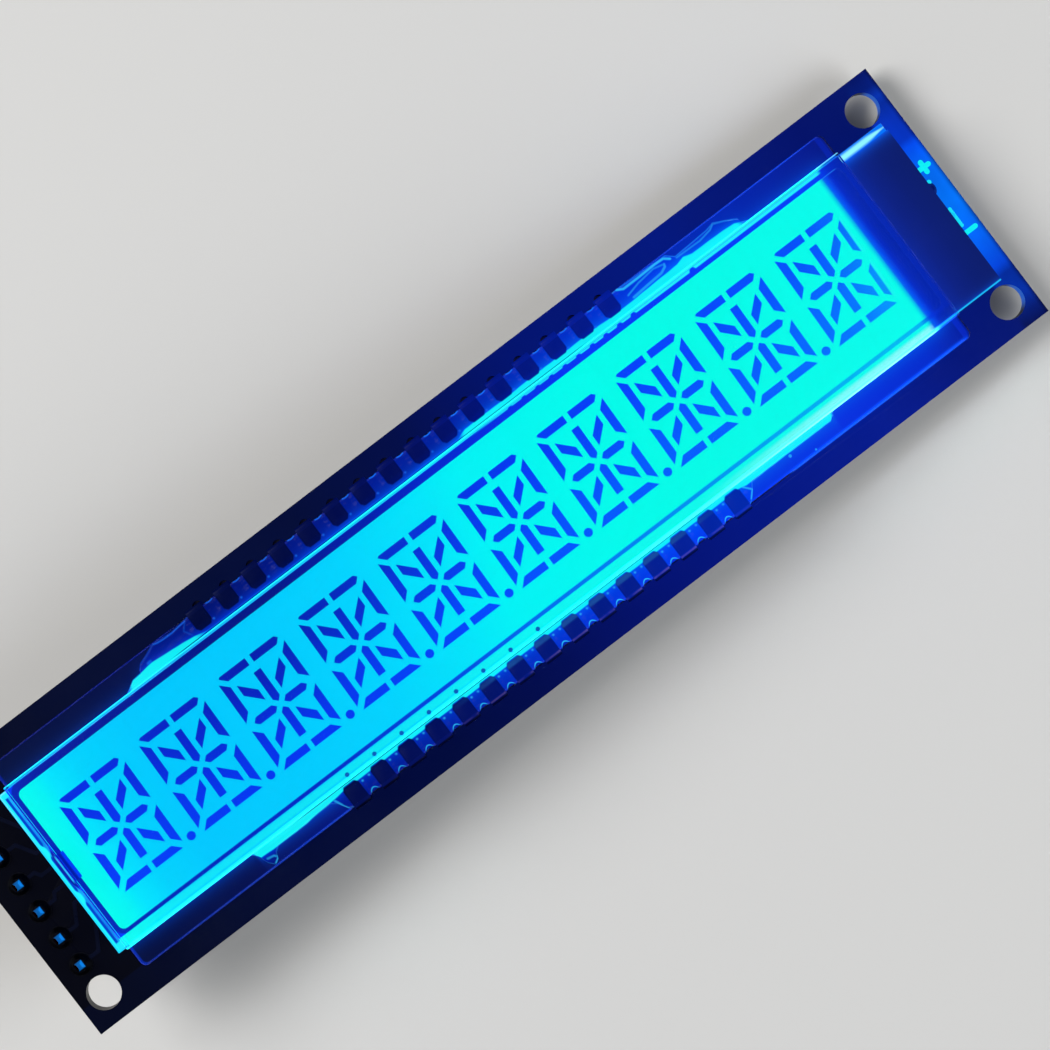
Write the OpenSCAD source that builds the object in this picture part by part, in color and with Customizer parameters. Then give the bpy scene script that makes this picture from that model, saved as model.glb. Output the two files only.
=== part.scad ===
// Sixteen-segment liquid crystal display module: one row of characters on a glass cell,
// lit from its end through a light guide, clipped to a circuit board that carries the
// driver chip and a pin header on its back.
//
// Frame: the origin is the centre of the mounting-hole pattern on the back face of the
// board. +X runs toward the lamp end, +Y toward the top of the characters, and +Z is the
// way the display faces.

/* [Characters] */
// Number of characters in the row
char_count = 10; // [2:1:16]
// Distance from one character to the next
char_pitch = 7.4; // [7:0.1:12]
// Width over the outer bars of a character
char_w = 5.9; // [4.6:0.1:6]
// Height of a character above the centre line of its middle bars
char_rise = 4.3; // [3.4:0.1:5]
// Depth of a character below that centre line
char_drop = 4.1; // [3.4:0.1:5]
// Width of every bar
stroke = 0.64; // [0.4:0.02:0.8]
// Lean of the type from upright, in degrees
char_slant = 1.6; // [0:0.1:10]
// Diameter of the decimal point
point_d = 0.68; // [0.4:0.02:1]
// Gap where a top or bottom bar is split in two
split_gap = 0.42; // [0.2:0.02:0.7]
// Clear space between a diagonal and the upright bars beside it
diagonal_gap = 0.42; // [0.2:0.02:0.6]
// Slope of the rising diagonals, in degrees
rising_slope = 43; // [35:1:55]
// Slope of the falling diagonals, in degrees
falling_slope = 46; // [35:1:55]

/* [Glass cell] */
// Thickness of each glass plate
glass_t = 1.1; // [0.55:0.05:1.5]
// Width of the front plate
front_glass_w = 15; // [13.2:0.1:20]
// Ledge of the rear plate beyond the front plate, on each long side
ledge_w = 1.9; // [1.8:0.05:3]
// Radius of the four corners of the rear plate
ledge_corner_r = 0.5; // [0.1:0.1:1]
// Glass beyond the first character
glass_start_margin = 2.2; // [1.2:0.1:6]
// Glass beyond the last character
glass_end_margin = 2.7; // [1.2:0.1:6]
// Gap between the plates, which holds the liquid crystal
cell_gap = 0.1; // [0.05:0.01:0.2]
// Thickness of each polarizer film
polarizer_t = 0.2; // [0.1:0.02:0.3]
// Width of the seal above the characters
seal_top_w = 0.6; // [0.3:0.05:0.9]
// Width of the seal below the characters
seal_bottom_w = 0.3; // [0.2:0.05:0.9]
// Width of the seal at both ends of the cell
seal_side_w = 0.4; // [0.2:0.05:0.9]
// Inset of the seal from the upper edge of the front plate
seal_top_inset = 0.25; // [0.1:0.05:0.6]
// Inset of the seal from the lower edge of the front plate
seal_bottom_inset = 0.95; // [0.75:0.05:1.2]
// Number of dots that carry the common lines from plate to plate
crossover_count = 8; // [1:1:12]
// Diameter of such a dot
crossover_d = 0.34; // [0.2:0.02:0.45]

/* [Backlight] */
// How much narrower the light guide is than the front plate
guide_narrower = 0.2; // [0:0.1:1]
// How far the light guide sits above the centre line of the board
guide_shift = 0.1; // [-0.2:0.05:0.2]
// Thickness of the light guide
guide_t = 3; // [2:0.1:5]
// Light guide beyond the start of the glass
guide_overhang = 1.1; // [0.4:0.1:3]
// Length of the lamp bay beyond the end of the glass
lamp_bay = 4.3; // [3.6:0.1:8]
// Depth of the pocket that holds the lamps
pocket_depth = 1.7; // [1.6:0.1:3]
// Wall of the light guide on each side of that pocket
pocket_wall = 1.2; // [0.8:0.1:2]
// Thickness of the white film under the light guide
reflector_t = 0.15; // [0.05:0.01:0.3]
// Thickness of the diffuser film on the light guide
diffuser_t = 0.15; // [0.12:0.01:0.3]
// Thickness of the dark tape over the lamp bay
tape_t = 0.1; // [0.05:0.01:0.12]
// How far the tape reaches under the end of the glass
tape_lap = 1.8; // [0.5:0.1:4]
// Strip of the light guide that the tape leaves bare on the upper side
tape_bare = 0.7; // [0:0.1:2]
// Number of lamps
lamp_count = 4; // [1:1:5]
// Diameter of the two lamp leads
lead_d = 0.5; // [0.3:0.05:0.7]
// Distance between the two lamp leads
lead_pitch = 2.54; // [2:0.01:5.08]

/* [Board] */
// Thickness of the circuit board
board_t = 1.6; // [0.8:0.1:2]
// Board beyond the rear plate, on each long side
board_margin = 2.1; // [1.8:0.05:6]
// Board beyond the light guide at the header end
header_strip = 5.3; // [4.8:0.1:12]
// Board beyond the light guide at the lamp end
lead_strip = 2.1; // [1.4:0.1:8]
// How far the glass sits above the centre line of the board
glass_shift = 0.2; // [-0.2:0.05:0.2]
// Diameter of the mounting holes
mount_hole_d = 2.7; // [1.6:0.1:2.8]
// Distance of a mounting hole from the end of the board
mount_inset_x = 2.1; // [1.6:0.1:2.2]
// Distance of a mounting hole from the long edge of the board
mount_inset_y = 2.4; // [1.6:0.1:2.5]

/* [Contact clips] */
// Distance from one contact to the next
clip_pitch = 2.54; // [2:0.01:3]
// Number of contacts on the upper ledge
upper_clips = 16; // [2:1:24]
// Number of contacts on the lower ledge
lower_clips = 15; // [2:1:24]
// Middle of both contact rows, from the middle of the glass
clip_row_shift = -0.6; // [-2:0.1:2]
// Width of the contact head
clip_w = 1.4; // [1:0.1:1.6]
// Thickness of the contact metal
clip_t = 0.25; // [0.15:0.01:0.3]
// Length of the arm on top of the ledge
clip_arm = 1.6; // [1.2:0.05:1.7]
// Length of the tongue under the ledge
clip_tongue = 1.3; // [0.8:0.05:1.5]
// Width of that tongue
tongue_w = 0.6; // [0.4:0.05:0.8]
// Width of the leg that goes through the board
leg_w = 0.5; // [0.4:0.05:0.6]
// Clearance between the contact and the edge of the glass
clip_clear = 0.05; // [0.02:0.01:0.2]
// Diameter of the board hole for a leg
leg_hole_d = 0.85; // [0.75:0.05:1]
// Leg beyond the back face of the board
leg_stickout = 1.5; // [1:0.1:3]

/* [Clear resin] */
// Width of the fillet of resin along the front plate
fillet_w = 0.5; // [0.3:0.05:0.8]
// Height of that fillet above the ledge
fillet_h = 0.9; // [0.5:0.05:1]
// Thickness of the layer over the contacts
resin_t = 0.42; // [0.35:0.01:0.6]
// Layer beyond the first upper contact
upper_layer_start = 5.3; // [1.2:0.1:8]
// Layer beyond the last upper contact
upper_layer_end = 10; // [1.2:0.1:11]
// Layer beyond the first lower contact
lower_layer_start = 7.4; // [1.2:0.1:8]
// Layer beyond the last lower contact
lower_layer_end = 1.3; // [1.2:0.1:9]
// Fillet beyond the start of the upper layer
upper_fillet_start = 2.3; // [1:0.1:5]
// Fillet beyond the end of the upper layer
upper_fillet_end = 2; // [1:0.1:5]
// Fillet beyond the start of the lower layer
lower_fillet_start = 1.5; // [1:0.1:5]
// Fillet beyond the end of the lower layer
lower_fillet_end = 8.5; // [1:0.1:9]

/* [Pin header] */
// Number of pins
header_pins = 6; // [2:1:6]
// Distance from one pin to the next
header_pitch = 2.54; // [2:0.01:2.54]
// Width of the square pins
pin_w = 0.64; // [0.5:0.02:0.66]
// Distance of the pins from the end of the board
header_inset = 2; // [1.6:0.1:3]
// Height of the plastic strip
header_body_h = 2.54; // [1.5:0.01:3]
// Pin below the plastic strip
pin_below = 6; // [3:0.1:12]
// Pin above the front face of the board
pin_tip = 1; // [0.6:0.1:2]
// Diameter of the board hole for a pin
pin_hole_d = 1; // [0.95:0.05:1.2]

/* [Driver chip] */
// Width and length of the chip's body
chip_w = 10; // [7:0.5:12]
// Thickness of that body
chip_t = 1.4; // [1:0.1:2]
// Leads on each side
leads_per_side = 16; // [8:1:16]
// Distance from one chip lead to the next
chip_lead_pitch = 0.5; // [0.4:0.01:0.65]
// Reach of a chip lead beyond the body
chip_lead_reach = 1; // [0.8:0.1:1.5]
// Place of the chip along the board
chip_x = 6; // [-10:0.5:20]

/* [Hidden] */
$fn = 48;
// Cuts reach this far past the faces that they go through
past = 0.5;

// Sizes along the board
glass_l = (char_count - 1) * char_pitch + char_w + glass_start_margin + glass_end_margin;
guide_l = guide_overhang + glass_l + lamp_bay;
board_l = header_strip + guide_l + lead_strip;
guide_x0 = header_strip - board_l / 2;
guide_x1 = guide_x0 + guide_l;
glass_x0 = guide_x0 + guide_overhang;
glass_x1 = glass_x0 + glass_l;
pocket_x0 = guide_x1 - pocket_depth;
tape_x0 = glass_x1 - tape_lap;

// Sizes across the board
guide_w = front_glass_w - guide_narrower;
rear_glass_w = front_glass_w + 2 * ledge_w;
board_w = rear_glass_w + 2 * board_margin;

// Levels from the back face of the board upward
reflector_z = board_t;
guide_z = reflector_z + reflector_t;
guide_top = guide_z + guide_t;
rear_polarizer_z = guide_top + diffuser_t;
rear_glass_z = rear_polarizer_z + polarizer_t;
ledge_z = rear_glass_z + glass_t;
front_glass_z = ledge_z + cell_gap;
front_polarizer_z = front_glass_z + glass_t;

// Places of the mounting holes
mount_x = board_l / 2 - mount_inset_x;
mount_y = board_w / 2 - mount_inset_y;

// Places of the contacts and of the holes for their legs
clip_middle_x = (glass_x0 + glass_x1) / 2 + clip_row_shift;
leg_y = rear_glass_w / 2 + clip_clear + clip_t / 2;

// Places at the lamp pocket: the strip closes it and the leads stand outside the strip
strip_t = 0.6;
strip_x0 = guide_x1 - strip_t;
strip_clear = 0.2;
strip_foot = 0.8;
strip_z = board_t + strip_foot;
lamp_gap = 0.1;
lamp_depth = strip_x0 - pocket_x0 - lamp_gap;
pocket_half_w = guide_w / 2 - pocket_wall;
lead_x = guide_x1 + lead_d / 2;
lead_top = strip_z + 1.2;

// Places of the header
header_x = header_inset - board_l / 2;

// The inner window of the seal, from the centre line of the glass
window_top = front_glass_w / 2 - seal_top_inset - seal_top_w;
window_bottom = seal_bottom_inset + seal_bottom_w - front_glass_w / 2;
window_corner_r = 0.5;
fill_port_w = 2.4;

// ---------- shared shapes ----------

// Places n copies along X at the given pitch, centred on x
module row(n, pitch, x = 0) {
    for (i = [0 : n - 1])
        translate([x + (i - (n - 1) / 2) * pitch, 0, 0]) children();
}

// Moves what is drawn to the centre line of the glass
module on_glass_line(z = 0) {
    translate([0, glass_shift, z]) children();
}

// Moves what is drawn to the centre line of the light guide
module on_guide_line(z = 0) {
    translate([0, guide_shift, z]) children();
}

// A flat plate from x0 to x1 and from y0 to y1
module plate(x0, x1, y0, y1, t) {
    translate([x0, y0, 0]) cube([x1 - x0, y1 - y0, t]);
}

// A rectangle with round corners, drawn as two bars and four discs
module rounded_rectangle(x0, x1, y0, y1, r) {
    translate([x0 + r, y0]) square([x1 - x0 - 2 * r, y1 - y0]);
    translate([x0, y0 + r]) square([x1 - x0, y1 - y0 - 2 * r]);
    for (x = [x0 + r, x1 - r], y = [y0 + r, y1 - r])
        translate([x, y]) circle(r);
}

// A quarter disc in the corner between +X and +Y
module quarter_disc(r) {
    intersection() {
        circle(r);
        square(r);
    }
}

// A block whose four sides draft in from the middle of its height to both faces
module drafted_block(w, l, h, draft) {
    intersection() {
        rotate([90, 0, 0]) linear_extrude(l + 1, center = true) drafted_side(w, h, draft);
        rotate([90, 0, 90]) linear_extrude(w + 1, center = true) drafted_side(l, h, draft);
    }
}

module drafted_side(w, h, draft) {
    polygon([
        [-w / 2, h / 2], [draft - w / 2, 0], [w / 2 - draft, 0],
        [w / 2, h / 2], [w / 2 - draft, h], [draft - w / 2, h]
    ]);
}

// A solder cone round a lead, on the front face (up = 1) or the back face (up = -1)
module solder_cone(foot_r, tip_r, h, up) {
    mirror([0, 0, up > 0 ? 0 : 1]) cylinder(r1 = foot_r, r2 = tip_r, h = h);
}

// ---------- circuit board ----------

module circuit_board() {
    color([0.02, 0.10, 0.30])
    difference() {
        translate([-board_l / 2, -board_w / 2, 0]) cube([board_l, board_w, board_t]);
        for (x = [-mount_x, mount_x], y = [-mount_y, mount_y])
            board_hole(x, y, mount_hole_d);
        at_header_pins() board_hole(0, 0, pin_hole_d);
        at_lamp_leads() board_hole(0, 0, leg_hole_d);
        at_contacts(upper_clips, 1) board_hole(0, 0, leg_hole_d);
        at_contacts(lower_clips, -1) board_hole(0, 0, leg_hole_d);
    }
}

module board_hole(x, y, d) {
    translate([x, y, -past]) cylinder(d = d, h = board_t + 2 * past);
}

// The header pins stand in a column across the end of the board
module at_header_pins() {
    translate([header_x, 0, 0]) rotate(90) row(header_pins, header_pitch) children();
}

module at_lamp_leads() {
    translate([lead_x, 0, 0]) rotate(90) row(2, lead_pitch) children();
}

// Contacts of the upper (side = 1) or lower (side = -1) row, at their legs
module at_contacts(n, side) {
    on_glass_line() row(n, clip_pitch, clip_middle_x)
        translate([0, side * leg_y, 0]) rotate(side > 0 ? 0 : 180) children();
}

// ---------- backlight ----------

module rear_reflector() {
    color("white")
    on_guide_line(reflector_z) plate(guide_x0, pocket_x0, -guide_w / 2, guide_w / 2, reflector_t);
}

// The light guide is a clear block with a pocket for the lamps at its end
module light_guide() {
    color([0.75, 0.95, 1.0])
    on_guide_line(guide_z) difference() {
        plate(guide_x0, guide_x1, -guide_w / 2, guide_w / 2, guide_t);
        translate([0, 0, -past])
            plate(pocket_x0, guide_x1 + past, -pocket_half_w, pocket_half_w, guide_t + 2 * past);
    }
}

module diffuser_film() {
    film_inset = 0.15;
    half_w = guide_w / 2 - film_inset;
    color([0.35, 0.85, 0.95])
    on_guide_line(guide_top)
        plate(guide_x0 + film_inset, tape_x0, -half_w, half_w, diffuser_t);
}

// The lamps stand on an upright strip of board that closes the pocket
module lamp_strip() {
    half_w = pocket_half_w - strip_clear;
    color("darkgreen")
    on_guide_line(strip_z)
        plate(strip_x0, strip_x0 + strip_t, -half_w, half_w, guide_top - strip_z);
}

module lamps() {
    lamp_l = 2;
    lamp_h = 1.2;
    lamp_spread = (2 * (pocket_half_w - strip_clear) - lamp_l) / max(1, lamp_count);
    lamp_middle_z = guide_z + guide_t / 2;
    color([0.95, 0.95, 0.85])
    on_guide_line(lamp_middle_z) rotate(90) row(lamp_count, lamp_spread)
        translate([0, lamp_depth / 2 - strip_x0, 0]) lamp_package(lamp_l, lamp_depth, lamp_h);
}

// A side-firing lamp: a white cup with a shallow window on the face toward the light guide
module lamp_package(l, depth, h) {
    window_inset = 0.2;
    window_depth = 0.15;
    difference() {
        cube([l, depth, h], center = true);
        translate([window_inset - l / 2, depth / 2 - window_depth, window_inset - h / 2])
            cube([l - 2 * window_inset, depth, h - 2 * window_inset]);
    }
}

module lamp_leads() {
    color("silver")
    at_lamp_leads() translate([0, 0, -leg_stickout]) cylinder(d = lead_d, h = leg_stickout + lead_top);
}

// Each lead has a low cone of solder in front and a full one behind
module lamp_lead_solder() {
    front_h = 0.5;
    front_foot_r = 0.7;
    back_h = 0.8;
    back_foot_r = 0.75;
    tip_r = lead_d / 2 + 0.1;
    color("gainsboro")
    at_lamp_leads() difference() {
        union() {
            translate([0, 0, board_t]) solder_cone(front_foot_r, tip_r, front_h, 1);
            solder_cone(back_foot_r, tip_r, back_h, -1);
        }
        translate([0, 0, -leg_stickout])
            cylinder(d = lead_d, h = leg_stickout + lead_top);
    }
}

// The tape lies over the lamp bay and folds down over its end, as far as the leads
module lamp_bay_tape() {
    tape_y0 = -guide_w / 2;
    tape_y1 = guide_w / 2 - tape_bare;
    fold_z = lead_top + 0.1;
    color([0.16, 0.13, 0.24])
    on_guide_line() {
        translate([0, 0, guide_top]) plate(tape_x0, guide_x1 + tape_t, tape_y0, tape_y1, tape_t);
        translate([0, 0, fold_z])
            plate(guide_x1, guide_x1 + tape_t, tape_y0, tape_y1, guide_top - fold_z);
    }
}

// ---------- glass cell ----------

// Both polarizers stop short of the edges of the front plate by the same inset
module polarizer() {
    inset = 0.2;
    half_w = front_glass_w / 2 - inset;
    plate(glass_x0 + inset, glass_x1 - inset, -half_w, half_w, polarizer_t);
}

module rear_polarizer() {
    color([0.45, 0.75, 0.80]) on_glass_line(rear_polarizer_z) polarizer();
}

module front_polarizer() {
    color([0.50, 0.80, 0.85]) on_glass_line(front_polarizer_z) polarizer();
}

module rear_glass() {
    color([0.80, 0.92, 0.95])
    on_glass_line(rear_glass_z) linear_extrude(glass_t)
        rounded_rectangle(glass_x0, glass_x1, -rear_glass_w / 2, rear_glass_w / 2, ledge_corner_r);
}

module front_glass() {
    color([0.80, 0.92, 0.95])
    on_glass_line(front_glass_z)
        plate(glass_x0, glass_x1, -front_glass_w / 2, front_glass_w / 2, glass_t);
}

// The seal is a frame round the window, open at the fill port
module cell_seal() {
    edge = 0.05;
    color([0.02, 0.10, 0.45])
    on_glass_line(ledge_z) linear_extrude(cell_gap) difference() {
        translate([glass_x0 + edge, window_bottom - seal_bottom_w])
            square([glass_l - 2 * edge, window_top + seal_top_w + seal_bottom_w - window_bottom]);
        rounded_rectangle(glass_x0 + seal_side_w, glass_x1 - seal_side_w,
            window_bottom, window_top, window_corner_r);
        translate([glass_x0 - past, -fill_port_w / 2]) square([2 * past + seal_side_w, fill_port_w]);
    }
}

// The plug fills the port in the seal and swells into a bead on the end of the glass
module fill_port_plug() {
    bead_l = 4.4;
    bead_out = 0.4;
    bead_h = 1.6;
    inner_reach = 0.15;
    bead_r = (bead_l * bead_l / 4 + bead_out * bead_out) / (2 * bead_out);
    color([0.05, 0.25, 0.60])
    on_glass_line() {
        translate([glass_x0, -fill_port_w / 2, ledge_z])
            cube([seal_side_w + inner_reach, fill_port_w, cell_gap]);
        translate([0, 0, ledge_z + cell_gap / 2 - bead_h / 2]) linear_extrude(bead_h) intersection() {
            translate([glass_x0 - bead_out + bead_r, 0]) circle(bead_r, $fn = 96);
            translate([glass_x0 - bead_out, -bead_l / 2]) square([bead_out, bead_l]);
        }
    }
}

// Each dot stands beside one of the first contacts of the lower row
module crossover_dots() {
    dot_from_contact = 0.32;
    dot_below_middle = 0.1;
    dot_inset = seal_bottom_inset / 2 - dot_below_middle;
    first_x = clip_middle_x - (lower_clips - 1) / 2 * clip_pitch + dot_from_contact;
    color([0.10, 0.12, 0.20])
    on_glass_line(ledge_z) for (i = [0 : crossover_count - 1])
        translate([first_x + i * clip_pitch, dot_inset - front_glass_w / 2, 0])
            cylinder(d = crossover_d, h = cell_gap);
}

// ---------- characters ----------

// Leans a point of a character by the slant of the type
function leaned(p) = [p.x + p.y * tan(char_slant), p.y];

// One end of a bar, from its lower to its upper edge. inward is the way along the bar to
// its middle, and tip is where the 45-degree point sits across the bar, from -1 at the
// lower edge to 1 at the upper one. A square end has no tip.
function bar_end(at, inward, tip) =
    is_undef(tip) ? [[at, -stroke / 2], [at, stroke / 2]] : concat(
        tip > -1 ? [[at + inward * (1 + tip) * stroke / 2, -stroke / 2]] : [],
        [[at, tip * stroke / 2]],
        tip < 1 ? [[at + inward * (1 - tip) * stroke / 2, stroke / 2]] : []
    );

function reversed(list) = [for (i = [len(list) - 1 : -1 : 0]) list[i]];

// The outline of a bar that runs from one place to another, with the tips of its two ends
function bar_outline(from, to, tip_from, tip_to) =
    concat(bar_end(from, 1, tip_from), reversed(bar_end(to, -1, tip_to)));

// A level bar: the outline lies along X at the height y
module level_bar(y, from, to, tip_from, tip_to) {
    linear_extrude(cell_gap)
        polygon([for (p = bar_outline(from, to, tip_from, tip_to)) leaned([p.x, y + p.y])]);
}

// An upright bar: the outline lies along Y at x, and its upper edge faces the given side
module upright_bar(x, side, from, to, tip_from, tip_to) {
    linear_extrude(cell_gap)
        polygon([for (p = bar_outline(from, to, tip_from, tip_to)) leaned([x + side * p.y, p.x])]);
}

// A diagonal with upright ends, which rises toward +X by the given slope in degrees
module diagonal_bar(x, y, run, slope) {
    half_rise = run * tan(slope) / 2;
    half_t = stroke / cos(slope) / 2;
    linear_extrude(cell_gap) polygon([
        leaned([x - run / 2, y - half_rise - half_t]), leaned([x - run / 2, y - half_rise + half_t]),
        leaned([x + run / 2, y + half_rise + half_t]), leaned([x + run / 2, y + half_rise - half_t])
    ]);
}

// The sixteen bars of one character, round the crossing of its middle bars
module character() {
    side_x = char_w / 2 - stroke / 2;
    top_y = char_rise - stroke / 2;
    bottom_y = stroke / 2 - char_drop;
    outer_tip = char_w / 2 - 0.25;
    middle_tip = char_w / 2 - 0.52;
    centre_tip = 0.25;
    centre_clear = 0.64;
    middle_gap = 0.34;
    corner_gap = 0.45;
    cut_corner = 0.27;

    // The two top bars: the outer points sit high at the left and lower at the right
    level_bar(top_y, -outer_tip, -split_gap / 2, 0.6, undef);
    level_bar(top_y, split_gap / 2, outer_tip, undef, 0.2);
    // The two bottom bars
    level_bar(bottom_y, -outer_tip, -split_gap / 2, -1, undef);
    level_bar(bottom_y, split_gap / 2, outer_tip, undef, -1);
    // The two middle bars
    level_bar(0, -middle_tip, -middle_gap, 0, 0);
    level_bar(0, middle_gap, middle_tip, 0, 0);
    // The four outer bars, pointed at their outer edges
    upright_bar(-side_x, -1, middle_gap, char_rise - corner_gap, 1, 1);
    upright_bar(side_x, 1, middle_gap, char_rise - corner_gap - cut_corner, 1, 1);
    upright_bar(-side_x, -1, corner_gap - char_drop, -middle_gap, 1, 1);
    upright_bar(side_x, 1, corner_gap - char_drop, -middle_gap, 1, 1);
    // The two centre bars, pointed where they meet the middle
    upright_bar(0, 1, centre_tip, top_y - stroke / 2 - centre_clear, 0, undef);
    upright_bar(0, 1, bottom_y + stroke / 2 + centre_clear, -centre_tip, undef, 0);
    diagonals();
}

// The diagonals sit midway between the upright bars, the falling pair a little farther out
module diagonals() {
    from = stroke / 2 + diagonal_gap;
    to = char_w / 2 - stroke - diagonal_gap;
    run = to - from;
    x = (from + to) / 2;
    trim = 0.08;
    upper_y = (char_rise - stroke / 2) / 2 - trim;
    lower_y = (char_drop - stroke / 2) / 2 - trim;
    spread = 0.06;
    diagonal_bar(-x, upper_y + spread, run, -falling_slope);
    diagonal_bar(x, upper_y - spread, run, rising_slope);
    diagonal_bar(-x, spread - lower_y, run, rising_slope);
    diagonal_bar(x, -lower_y - spread, run, -falling_slope);
}

first_char_x = glass_x0 + glass_start_margin + char_w / 2;
char_middle_y = 0.05;

module character_segments() {
    color([0.03, 0.15, 0.65])
    on_glass_line(ledge_z) for (i = [0 : char_count - 1])
        translate([first_char_x + i * char_pitch, char_middle_y, 0]) character();
}

// A decimal point stands midway between one character and the next
module decimal_points() {
    place = leaned([char_pitch / 2, point_d / 2 - char_drop]);
    color([0.03, 0.15, 0.65])
    on_glass_line(ledge_z) for (i = [0 : char_count - 2])
        translate([first_char_x + i * char_pitch + place.x, char_middle_y + place.y, 0])
            cylinder(d = point_d, h = cell_gap);
}

// ---------- contacts ----------

// One contact of bent sheet metal, drawn for the upper row. Its origin is the middle of
// its leg at the level of the board's back face.
module contact() {
    shoulder = 0.5;
    taper = 0.35;
    foot = -leg_stickout;
    plate_low = rear_glass_z - shoulder;
    translate([0, -clip_t / 2, 0]) {
        // The upright plate, which narrows to the leg
        translate([0, clip_t, 0]) rotate([90, 0, 0]) linear_extrude(clip_t) polygon([
            [-clip_w / 2, ledge_z], [clip_w / 2, ledge_z], [clip_w / 2, plate_low],
            [leg_w / 2, plate_low - taper], [leg_w / 2, foot + leg_w / 2], [leg_w / 4, foot],
            [-leg_w / 4, foot], [-leg_w / 2, foot + leg_w / 2], [-leg_w / 2, plate_low - taper],
            [-clip_w / 2, plate_low]
        ]);
        // The bend over the edge of the glass
        translate([-clip_w / 2, 0, ledge_z]) rotate([90, 0, 90])
            linear_extrude(clip_w) quarter_disc(clip_t);
        contact_arm();
        contact_tongue();
    }
}

// The arm on top of the ledge, with its two inner corners cut off
module contact_arm() {
    corner = 0.2;
    reach = clip_arm + clip_clear;
    translate([0, 0, ledge_z]) linear_extrude(clip_t) polygon([
        [-clip_w / 2, 0], [clip_w / 2, 0], [clip_w / 2, corner - reach], [clip_w / 2 - corner, -reach],
        [corner - clip_w / 2, -reach], [-clip_w / 2, corner - reach]
    ]);
}

// The tongue that grips the glass from below
module contact_tongue() {
    reach = clip_tongue + clip_clear;
    translate([-tongue_w / 2, -reach, rear_glass_z - clip_t]) cube([tongue_w, reach, clip_t]);
}

module upper_contacts() {
    color("silver") at_contacts(upper_clips, 1) contact();
}

module lower_contacts() {
    color("silver") at_contacts(lower_clips, -1) contact();
}

module upper_contact_solder() {
    color("gainsboro") at_contacts(upper_clips, 1) contact_solder();
}

module lower_contact_solder() {
    color("gainsboro") at_contacts(lower_clips, -1) contact_solder();
}

module contact_solder() {
    cone_h = 0.9;
    foot_r = 0.8;
    tip_r = leg_w / 2 + 0.11;
    difference() {
        solder_cone(foot_r, tip_r, cone_h, -1);
        translate([-leg_w / 2, -clip_t / 2, -cone_h - past]) cube([leg_w, clip_t, cone_h + 2 * past]);
    }
}

// ---------- clear resin ----------

// Cross-section of the resin, from the edge of the front plate outward over the ledge
module resin_section() {
    rim = 0.12;
    crest = 0.08;
    waist = 0.2;
    polygon([
        [0, 0], [ledge_w - rim, 0], [ledge_w - rim, resin_t - rim], [ledge_w - 2 * rim, resin_t],
        [fillet_w, resin_t], [waist, (resin_t + fillet_h) / 2], [crest, fillet_h], [0, fillet_h]
    ]);
}

// Plan of the resin over a row of n contacts: a broad layer with round ends, a narrow
// fillet that runs on past it, and a hollow edge between each contact and the next.
// layer and fillet give how far each runs on at the start and at the end of the row.
module resin_plan(n, layer, fillet) {
    row_half = (n - 1) / 2 * clip_pitch;
    layer_x0 = clip_middle_x - row_half - layer[0];
    layer_x1 = clip_middle_x + row_half + layer[1];
    end_w = ledge_w - fillet_w;
    start_l = min(end_w, layer[0] - clip_w / 2);
    end_l = min(end_w, layer[1] - clip_w / 2);
    scallop_r = 0.45;
    scallop_depth = 0.35;
    difference() {
        polygon(concat(
            [[layer_x0 - fillet[0], 0], [layer_x0 - fillet[0] + fillet_w, fillet_w]],
            [for (a = [0 : 15 : 90]) [layer_x0 + start_l * (1 - cos(a)), fillet_w + end_w * sin(a)]],
            [for (a = [90 : -15 : 0]) [layer_x1 - end_l * (1 - cos(a)), fillet_w + end_w * sin(a)]],
            [[layer_x1 + fillet[1] - fillet_w, fillet_w], [layer_x1 + fillet[1], 0]]
        ));
        row(n - 1, clip_pitch, clip_middle_x)
            translate([0, ledge_w + scallop_r - scallop_depth]) circle(scallop_r);
    }
}

// One bead of resin, drawn for the upper row from the edge of the front plate
module resin_bead(n, side, layer, fillet) {
    difference() {
        on_glass_line(ledge_z) mirror([0, side > 0 ? 0 : 1, 0])
            translate([0, front_glass_w / 2, 0]) intersection() {
                linear_extrude(fillet_h + past) resin_plan(n, layer, fillet);
                translate([glass_x0, 0, 0]) rotate([90, 0, 90]) linear_extrude(glass_l) resin_section();
            }
        at_contacts(n, side) translate([0, -clip_t / 2, 0]) contact_arm();
    }
}

module upper_resin() {
    color([0.55, 0.85, 0.95])
    resin_bead(upper_clips, 1, [upper_layer_start, upper_layer_end], [upper_fillet_start, upper_fillet_end]);
}

module lower_resin() {
    color([0.55, 0.85, 0.95])
    resin_bead(lower_clips, -1, [lower_layer_start, lower_layer_end], [lower_fillet_start, lower_fillet_end]);
}

// ---------- pin header ----------

// The plastic strip under the board: one block a pin, with cut corners between them
module header_body() {
    corner = 0.45;
    half = header_pitch / 2;
    color([0.08, 0.08, 0.09])
    difference() {
        at_header_pins() translate([0, 0, -header_body_h]) linear_extrude(header_body_h) polygon([
            [-half, corner - half], [corner - half, -half], [half - corner, -half], [half, corner - half],
            [half, half - corner], [half - corner, half], [corner - half, half], [-half, half - corner]
        ]);
        at_header_pins() translate([-pin_w / 2, -pin_w / 2, -header_body_h - past])
            cube([pin_w, pin_w, header_body_h + 2 * past]);
    }
}

// Square pins whose two ends taper on all four sides
module header_pins_metal() {
    low = -header_body_h - pin_below;
    high = board_t + pin_tip;
    color("silver")
    at_header_pins() intersection() {
        rotate([90, 0, 0]) linear_extrude(pin_w, center = true) pin_side(low, high);
        rotate([90, 0, 90]) linear_extrude(pin_w, center = true) pin_side(low, high);
    }
}

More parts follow.
